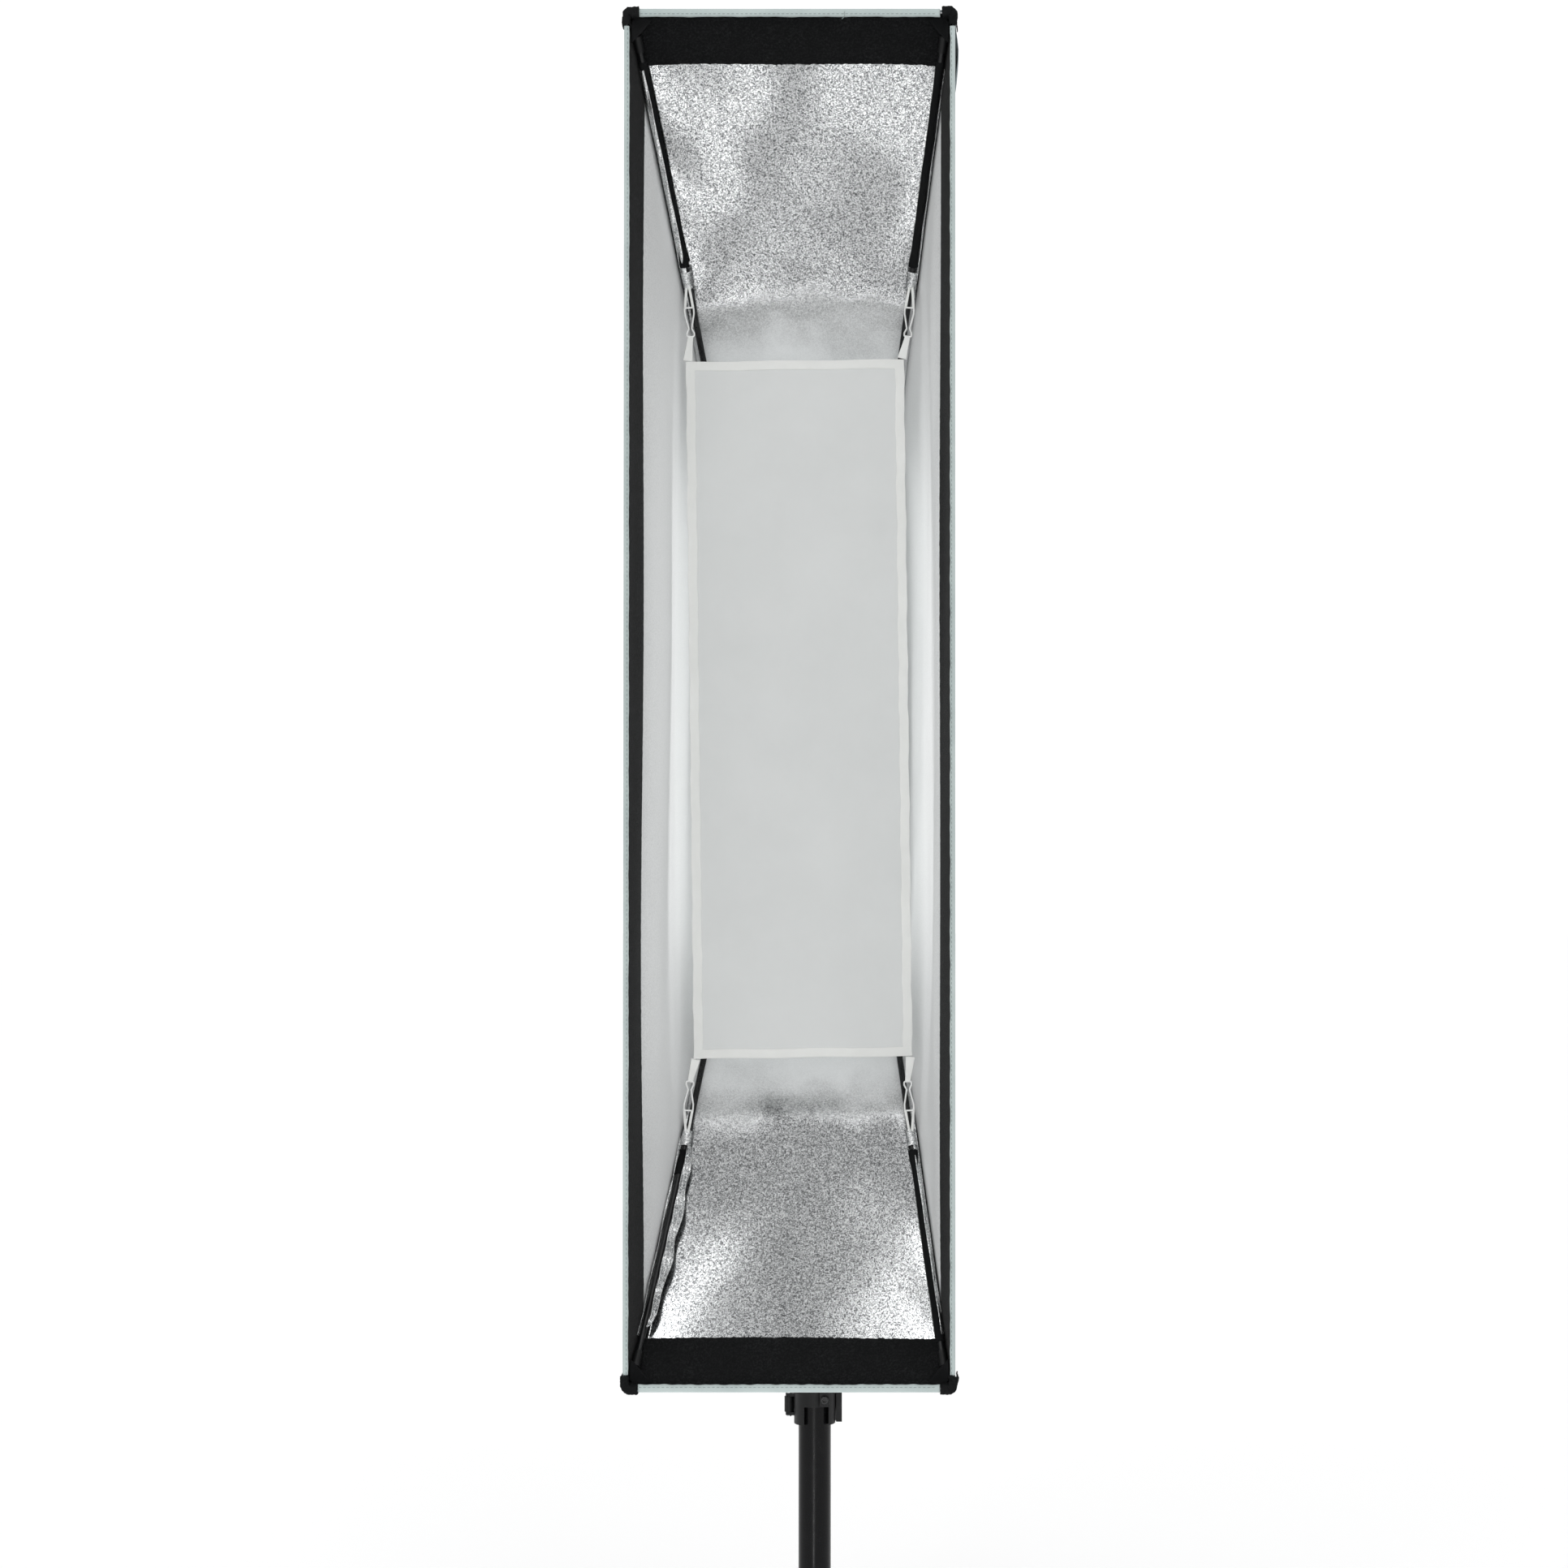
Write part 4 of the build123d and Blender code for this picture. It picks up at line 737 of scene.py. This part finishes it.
for corner in CORNERS:
    reach_x, reach_z = REACH[corner]
    outer_line = around_corner(reach_x, reach_z, POCKET_PROUD, POCKET_PROUD, 0.0088)
    inner_line = around_corner(reach_x, reach_z, -0.0056, -0.0078, 0.0008)
    steps = [(0, 0.0), (0.25, 0.0), (0.5, 0.0), (0.75, 0.0), (0.93, 0.01), (0.985, 0.06), (1, 0.16),
             (1, 0.4), (1, 0.65),
             (1, 0.84), (0.985, 0.94), (0.93, 0.99), (0.8, 1.0), (0.6, 1.0), (0.4, 1.0), (0.2, 1.0)]
    forward, inwards = np.array(steps).T
    line = outer_line[None] * (1 - inwards)[:, None, None] + inner_line[None] * inwards[:, None, None]
    y = POCKET_REAR_Y + (POCKET_FRONT_Y - POCKET_REAR_Y) * forward
    crumple = dice.normal(size=(len(steps), 41, 3))
    crumple = sum(np.roll(crumple, k, axis=1) for k in range(-3, 4)) / 7
    crumple = (crumple + np.roll(crumple, 1, axis=0)) * 0.00075
    points = np.stack([line[..., 0], np.broadcast_to(y[:, None], line.shape[:2]), line[..., 1]], -1) + crumple
    points = facing(mirrored(points, corner), (0, -0.44, CENTRE_Z), inward=False)
    gx, gz = np.meshgrid(np.linspace(0, 1, 14), np.linspace(0, 1, 14), indexing="ij")
    a = np.array([HALF_WIDTH - 0.0062, -0.4475, HALF_HEIGHT - 0.030])
    b = np.array([HALF_WIDTH - 0.026, -0.4475, HALF_HEIGHT - 0.0068])
    c = np.array([HALF_WIDTH - 0.0062, -0.4490, HALF_HEIGHT - 0.0068])
    slant = a + (b - a) * gz[..., None]
    gusset = slant * (1 - gx[..., None]) + (c + (slant - c) * 0.15) * gx[..., None]
    gusset[..., 1] += 0.0030 * np.sin(np.pi * gx) * np.sin(np.pi * gz)
    gusset = facing(mirrored(gusset, corner), (0, -1.5, CENTRE_Z))
    piece(f"corner_cap_{corner}", [(points, "sheet"), (gusset, "sheet")], black_tape, BOX_BODY,
          [f"corner_pocket_{corner}"], 0.0009)

# ---------------------------------------------------------------- rod sleeves, webs, tabs
SLEEVE_FROM, SLEEVE_TO, TAB_AT = 0.035, 0.338, 0.358
ROD_RADIUS = 0.003


def sleeve(first, last, outside, inside, wobble, rows, flare=0.0):
    """A tube of cloth around the rod with a real thickness: the outer skin runs from first to
    last, turns over the lip and comes back inside. Its radius wobbles with low waves."""
    share = np.concatenate([np.linspace(first, last, rows), np.linspace(last, first, rows)])
    path = rod_line(share)
    along = rod_line(share + 0.002) - rod_line(share - 0.002)
    along /= np.linalg.norm(along, axis=1, keepdims=True)
    side = np.cross(along, [0.0, 1.0, 0.0])
    side /= np.linalg.norm(side, axis=1, keepdims=True)
    up = np.cross(side, along)
    turn = np.linspace(0, 2 * np.pi, 24, endpoint=False)
    base = np.where(np.arange(2 * rows) < rows, outside, inside)[:, None]
    phase = dice.uniform(0, 6, size=3)
    t = ((share - first) / (last - first))[:, None]
    waves = (np.sin(2 * turn + phase[0] + 3 * t) + 0.6 * np.sin(3 * turn + phase[1] + 21 * t)
             + 0.5 * np.sin(40 * t + phase[2]))
    lips = np.exp(-(((1 - t) / 0.05) ** 2)) * flare
    radius = base + np.where(np.arange(2 * rows) < rows, 1.0, 0.3)[:, None] * wobble * waves + lips
    radius = np.maximum(radius, ROD_RADIUS + 0.00012)
    return path[:, None] + radius[..., None] * (np.cos(turn)[:, None] * side[:, None]
                                                + np.sin(turn)[:, None] * up[:, None])


sleeve_parts, tab_parts, elastic_parts, ribbon_parts = [], [], [], []
SLEEVE_FIRST = {"top_right": SLEEVE_FROM, "top_left": SLEEVE_FROM, "bottom_right": SLEEVE_FROM,
                "bottom_left": 0.300}
LAP = {"top_right": 50, "top_left": 150, "bottom_right": 118, "bottom_left": 62}  # degrees round the sleeve
TAB_POINT = rod_line(TAB_AT)
DIFFUSER_TILT = np.radians(0.7)
for corner in CORNERS:
    body_of_sleeve = sleeve(SLEEVE_FIRST[corner], SLEEVE_TO, 0.0038, 0.00325, 0.00012, 60, 0.0011)
    sleeve_parts.append((mirrored(body_of_sleeve, corner), "ring"))
    tab = sleeve(TAB_AT - 0.0125, TAB_AT + 0.0125, 0.0050, 0.0036, 0.00045, 16)
    tab_parts.append((mirrored(tab, corner), "ring"))

    # web of lining between sleeve and seam, slack and crinkled beside the bottom left rod
    share = np.linspace(SLEEVE_FROM + 0.01, TAB_AT, 120)
    seam_edge = seam(share + 0.035) - np.array([0.0030, 0, 0.0030])
    rod_edge = rod_line(share)
    tangent = rod_line(share + 0.002) - rod_line(share - 0.002)
    tangent /= np.linalg.norm(tangent, axis=1, keepdims=True)
    towards = seam_edge - rod_edge
    towards -= tangent * np.sum(towards * tangent, axis=1, keepdims=True)
    towards /= np.linalg.norm(towards, axis=1, keepdims=True)
    rod_edge = rod_edge + towards * 0.0043
    t = np.linspace(0, 1, 16)[None, :, None]
    web = rod_edge[:, None] * (1 - t) + seam_edge[:, None] * t
    slack = 0.0022 if corner == "bottom_left" else 0.0009
    wave = (np.sin(2 * np.pi * (2.6 * t[..., 0] + 3 * share[:, None] * 2))
            + 0.5 * np.sin(55 * share[:, None] + 7 * t[..., 0]))
    square = np.cross(towards, tangent)
    web = web + (slack * wave * np.sin(np.pi * t[..., 0]))[..., None] * square[:, None]
    lap_turn = np.radians(np.linspace(LAP[corner], 0, 18, endpoint=False))
    ahead = square * np.sign(-square[:, 1:2])
    crinkle = 0.0043 + 0.00035 * np.sin(70 * share[:, None] + 5 * lap_turn) * (lap_turn > 0.2)
    lap = rod_line(share)[:, None] + crinkle[..., None] * (
        np.cos(lap_turn)[:, None] * towards[:, None] + np.sin(lap_turn)[:, None] * ahead[:, None])
    web = np.concatenate([lap, web], 1)
    web = facing(mirrored(web, corner), BOX_AXIS)
    web_piece = piece(f"sleeve_web_{corner}", [(web, "sheet")], crumpled_foil, BOX_BODY,
                      (), 0.0004)

    # elastic in two strands from the tab to the hook, and the ribbon on to the cloth's corner
    corner_x, corner_z = CORNERS[corner]
    place = np.array([corner_x * 0.1045, 0.0, corner_z * 0.3406])
    turned = np.array([
        place[0] * np.cos(DIFFUSER_TILT) - place[2] * np.sin(DIFFUSER_TILT), DIFFUSER_Y,
        place[0] * np.sin(DIFFUSER_TILT) + place[2] * np.cos(DIFFUSER_TILT),
    ]) * [corner_x, 1, corner_z]
    tie_end = np.array([0.1045, DIFFUSER_Y, 0.3406])
    run = tie_end - TAB_POINT
    length = np.linalg.norm(run)
    along = run / length
    level = np.cross(along, [0.0, 1.0, 0.0])
    level /= np.linalg.norm(level)
    hook_start, hook_end = length - 0.052, length - 0.022
    for strand in (-1, 1):
        t = np.linspace(0, 1, 12)
        spread = strand * (0.0007 + 0.0032 * t**0.8)
        path = (TAB_POINT + along * (0.0050 + (hook_start + 0.0012 - 0.0050) * t)[:, None]
                + level * spread[:, None])
        path[:, 1] += strand * 0.0004
        strip = carried(path, soft_section(0.0025, 0.0010, 12))
        elastic_parts.append((mirrored(strip, corner), "tube"))
    t = np.linspace(0, 1, 16)
    start = TAB_POINT + along * (hook_end - 0.0016)
    path = start + (turned - start) * t[:, None]
    path[:, 1] -= 0.0012 * np.sin(np.pi * t)
    widths = 0.0052 + 0.0040 * t**1.4
    section = soft_section(1.0, 1.0, 14)[None] * np.stack([widths, np.full(16, 0.0009)], -1)[:, None]
    ribbon_parts.append((mirrored(carried(path, section), corner), "tube"))
    if corner == "bottom_left":
        share = np.linspace(SLEEVE_FROM + 0.02, TAB_AT - 0.01, 120)
        t = np.linspace(0, 1, 40)[None]
        run = np.linspace(0, 1, len(share))[:, None]
        base = rod_line(share)[:, None] + towards[:, None] * -0.0045
        reach = (0.0095 * np.sin(np.pi * run) ** 0.35 * (1 + 0.15 * np.sin(23 * run)))[..., None]
        pleat = 0.0016 * np.abs(np.sin(2.5 * np.pi * t + 1.5 * run)) + 0.0005 * np.sin(41 * run + 16 * t)
        fold = (base + np.array([-1.0, 0, 0]) * reach * t[..., None]
                + pleat[..., None] * np.array([0, -0.6, -0.8]))
        fold = facing(mirrored(fold, corner), BOX_AXIS)
        fold_piece = piece("lining_fold", [(fold, "sheet")], crumpled_foil, BOX_BODY, (),
                           0.0004)
piece("rod_sleeve_cloth", sleeve_parts, black_tape, BOX_BODY, ["rod_sleeves"])
piece("anchor_tab_cloth", tab_parts, crumpled_foil, BOX_BODY, ["anchor_tabs"])
piece("tie_elastic_strands", elastic_parts, white_tape, BOX_BODY, ["tie_elastics"])
piece("tie_ribbon_tapes", ribbon_parts, white_tape, BOX_BODY, ["tie_ribbons"])

# ---------------------------------------------------------------- inner diffuser
BINDING_LOW, BINDING_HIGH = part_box("diffuser_binding")
EDGE_X, EDGE_Z = (BINDING_HIGH.x - BINDING_LOW.x) / 2, (BINDING_HIGH.z - BINDING_LOW.z) / 2
BINDING_WIDE, BINDING_DEEP = 0.009, BINDING_HIGH.y - BINDING_LOW.y


def sagging(x, z):
    """How far the stretched cloth hangs back: a shallow bowl with slow pulls to its corners."""
    bowl = (1 - (x / EDGE_X) ** 2) * (1 - (z / EDGE_Z) ** 2)
    pulls = np.sin(26 * x + 9 * z) + 0.7 * np.sin(11 * z - 38 * x + 1.3)
    return 0.0022 * bowl + 0.0006 * pulls * bowl


def tilted(x, y, z):
    """Turns the cloth a little in its own plane and lifts it to the box's centre."""
    c, s = np.cos(DIFFUSER_TILT), np.sin(DIFFUSER_TILT)
    return np.stack([x * c - z * s, DIFFUSER_Y + y, CENTRE_Z + x * s + z * c], -1)


x, z = np.meshgrid(np.linspace(-1, 1, 60) * (EDGE_X - 0.003), np.linspace(-1, 1, 160) * (EDGE_Z - 0.003),
                   indexing="ij")
cloth = facing(tilted(x, sagging(x, z) - 0.0003, z), (0, -2, CENTRE_Z))
diffuser = piece("diffuser_cloth", [(cloth, "sheet")], white_scrim, BOX_BODY,
                 ["inner_diffuser"], 0.0005)

side_run = np.concatenate([np.stack([-np.ones(150), np.linspace(-1, 1, 150)], -1),
                           np.stack([np.linspace(-1, 1, 60)[1:], np.ones(59)], -1)])
loop = np.concatenate([side_run[:-1], -side_run[:-1]])
section = soft_section(1.0, 1.0, 18, 0.4)
inset = BINDING_WIDE * (section[:, 0] + 0.5)
wavy = 0.00035 * np.sin(loop[:, 0] * 7 + loop[:, 1] * 31) + 0.0002 * np.sin(loop[:, 1] * 77 + 1)
x = loop[:, :1] * (EDGE_X - inset[None] - wavy[:, None])
z = loop[:, 1:] * (EDGE_Z - inset[None] - wavy[:, None])
y = section[:, 1][None] * BINDING_DEEP * 0.75 + sagging(x, z)
tape = piece("diffuser_tape", [(tilted(x, y, z), "ring")], white_tape, BOX_BODY,
             ["diffuser_binding"])

# ---------------------------------------------------------------- rear cuff and latch spring
low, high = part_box("rear_cuff")
turn = np.linspace(0, 2 * np.pi, 480, endpoint=False)
profile = np.linspace(0, 2 * np.pi, 22, endpoint=False)
gather = np.sin(64 * turn) + 0.5 * np.sin(41 * turn + 1.0)
lengthways = np.cos(profile)
front_radius, rear_radius = high.x, high.x - 0.0052
radius = (front_radius + rear_radius) / 2 + (rear_radius - front_radius) / 2 * lengthways - 0.0012
radius = (radius[:, None] + 0.0009 * np.sin(profile)[:, None]
          + 0.00055 * gather[None] * (0.4 + 0.6 * (lengthways[:, None] > 0)))
y = (low.y + high.y) / 2 + (high.y - low.y) / 2 * 0.97 * lengthways
cuff = np.stack([radius * np.sin(turn), np.broadcast_to(y[:, None], radius.shape),
                 CENTRE_Z + radius * np.cos(turn)], -1)
piece("rear_cuff_elastic", [(cuff, "ring")], black_tape, BOX_BODY, ["rear_cuff"])

low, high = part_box("latch_spring")
WIRE = 0.00042
t = np.linspace(0, 1, 150)
coil = (high.z - low.z) / 2 - WIRE
turns = 2 * np.pi * (4.5 * t)
path = np.stack([
    low.x + WIRE + (high.x - low.x - 2 * WIRE) * t,
    (low.y + high.y) / 2 + coil * np.cos(turns),
    (low.z + high.z) / 2 + coil * np.sin(turns),
], -1)
along = np.gradient(path, axis=0)
along /= np.linalg.norm(along, axis=1, keepdims=True)
out = np.stack([0 * t, np.cos(turns), np.sin(turns)], -1)
third = np.cross(along, out)
around = np.linspace(0, 2 * np.pi, 8, endpoint=False)
wire = path[:, None] + WIRE * (np.cos(around)[:, None] * out[:, None]
                               + np.sin(around)[:, None] * third[:, None])
spring = piece("latch_spring_coil", [(wire, "tube")], FINISHES["bright_steel"], "bracket_head",
               ["latch_spring"])
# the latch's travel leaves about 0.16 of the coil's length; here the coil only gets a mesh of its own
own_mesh(spring)

# ---------------------------------------------------------------- floor, light and camera
scene = bpy.context.scene
floor_size = 30.0
floor_mesh = bpy.data.meshes.new("floor")
floor_mesh.from_pydata([(-floor_size, -floor_size, 0), (floor_size, -floor_size, 0),
                        (floor_size, floor_size, 0),
                        (-floor_size, floor_size, 0)], [], [(0, 1, 2, 3)])
floor = bpy.data.objects.new("floor", floor_mesh)
scene.collection.objects.link(floor)
paper = bpy.data.materials.new("studio_paper")
paper.use_nodes = True
paper.node_tree.nodes["Principled BSDF"].inputs["Base Color"].default_value = (0.93, 0.93, 0.93, 1)
paper.node_tree.nodes["Principled BSDF"].inputs["Roughness"].default_value = 0.9
floor_mesh.materials.append(paper)

world = bpy.data.worlds.new("studio")
world.use_nodes = True
world.node_tree.nodes["Background"].inputs["Color"].default_value = (1.0, 1.0, 1.0, 1)
world.node_tree.nodes["Background"].inputs["Strength"].default_value = 1.08
scene.world = world

# Two strips below and two above show as streaks in the foil, and one in the box lights its deeper walls.
LAMPS = (  # name, place, aim, width, height, watts
    ("low_strip_left", (-0.215, -1.30, 0.10), (-0.09, -0.42, 1.60), 0.09, 0.50, 0.40),
    ("low_strip_right", (0.030, -1.30, 0.10), (0.09, -0.42, 1.60), 0.09, 0.50, 0.36),
    ("high_strip_left", (-0.42, -1.20, 2.20), (-0.10, -0.42, 0.40), 0.24, 0.45, 1.7),
    ("high_strip_right", (0.18, -1.20, 2.20), (0.10, -0.42, 0.40), 0.24, 0.45, 1.7),
    ("inner_glow", (0.0, -0.205, 1.0), (0.0, -0.50, 1.0), 0.05, 0.50, 0.42),
    ("column_strip", (-0.030, -0.72, 0.010), (-0.030, -0.70, 1.0), 0.020, 0.75, 1.4),
)
for name, lamp_place, aim, width, height, watts in LAMPS:
    lamp = bpy.data.lights.new(name, "AREA")
    lamp.shape = "RECTANGLE"
    lamp.size, lamp.size_y, lamp.energy = width, height, watts
    holder = bpy.data.objects.new(name, lamp)
    holder.location = lamp_place
    holder.rotation_euler = (Vector(aim) - Vector(lamp_place)).to_track_quat("-Z", "Y").to_euler()
    holder.visible_camera = False
    scene.collection.objects.link(holder)

camera_data = bpy.data.cameras.new("camera")
camera_data.sensor_width, camera_data.lens = 36.0, 62.54
camera_data.shift_x, camera_data.shift_y = -0.1103, 0.035
camera = bpy.data.objects.new("camera", camera_data)
camera.location = (0.154, -2.955, 0.8488)
camera.rotation_euler = (np.radians(90.52), 0, 0)
scene.collection.objects.link(camera)
scene.camera = camera
scene.view_settings.view_transform = "Standard"
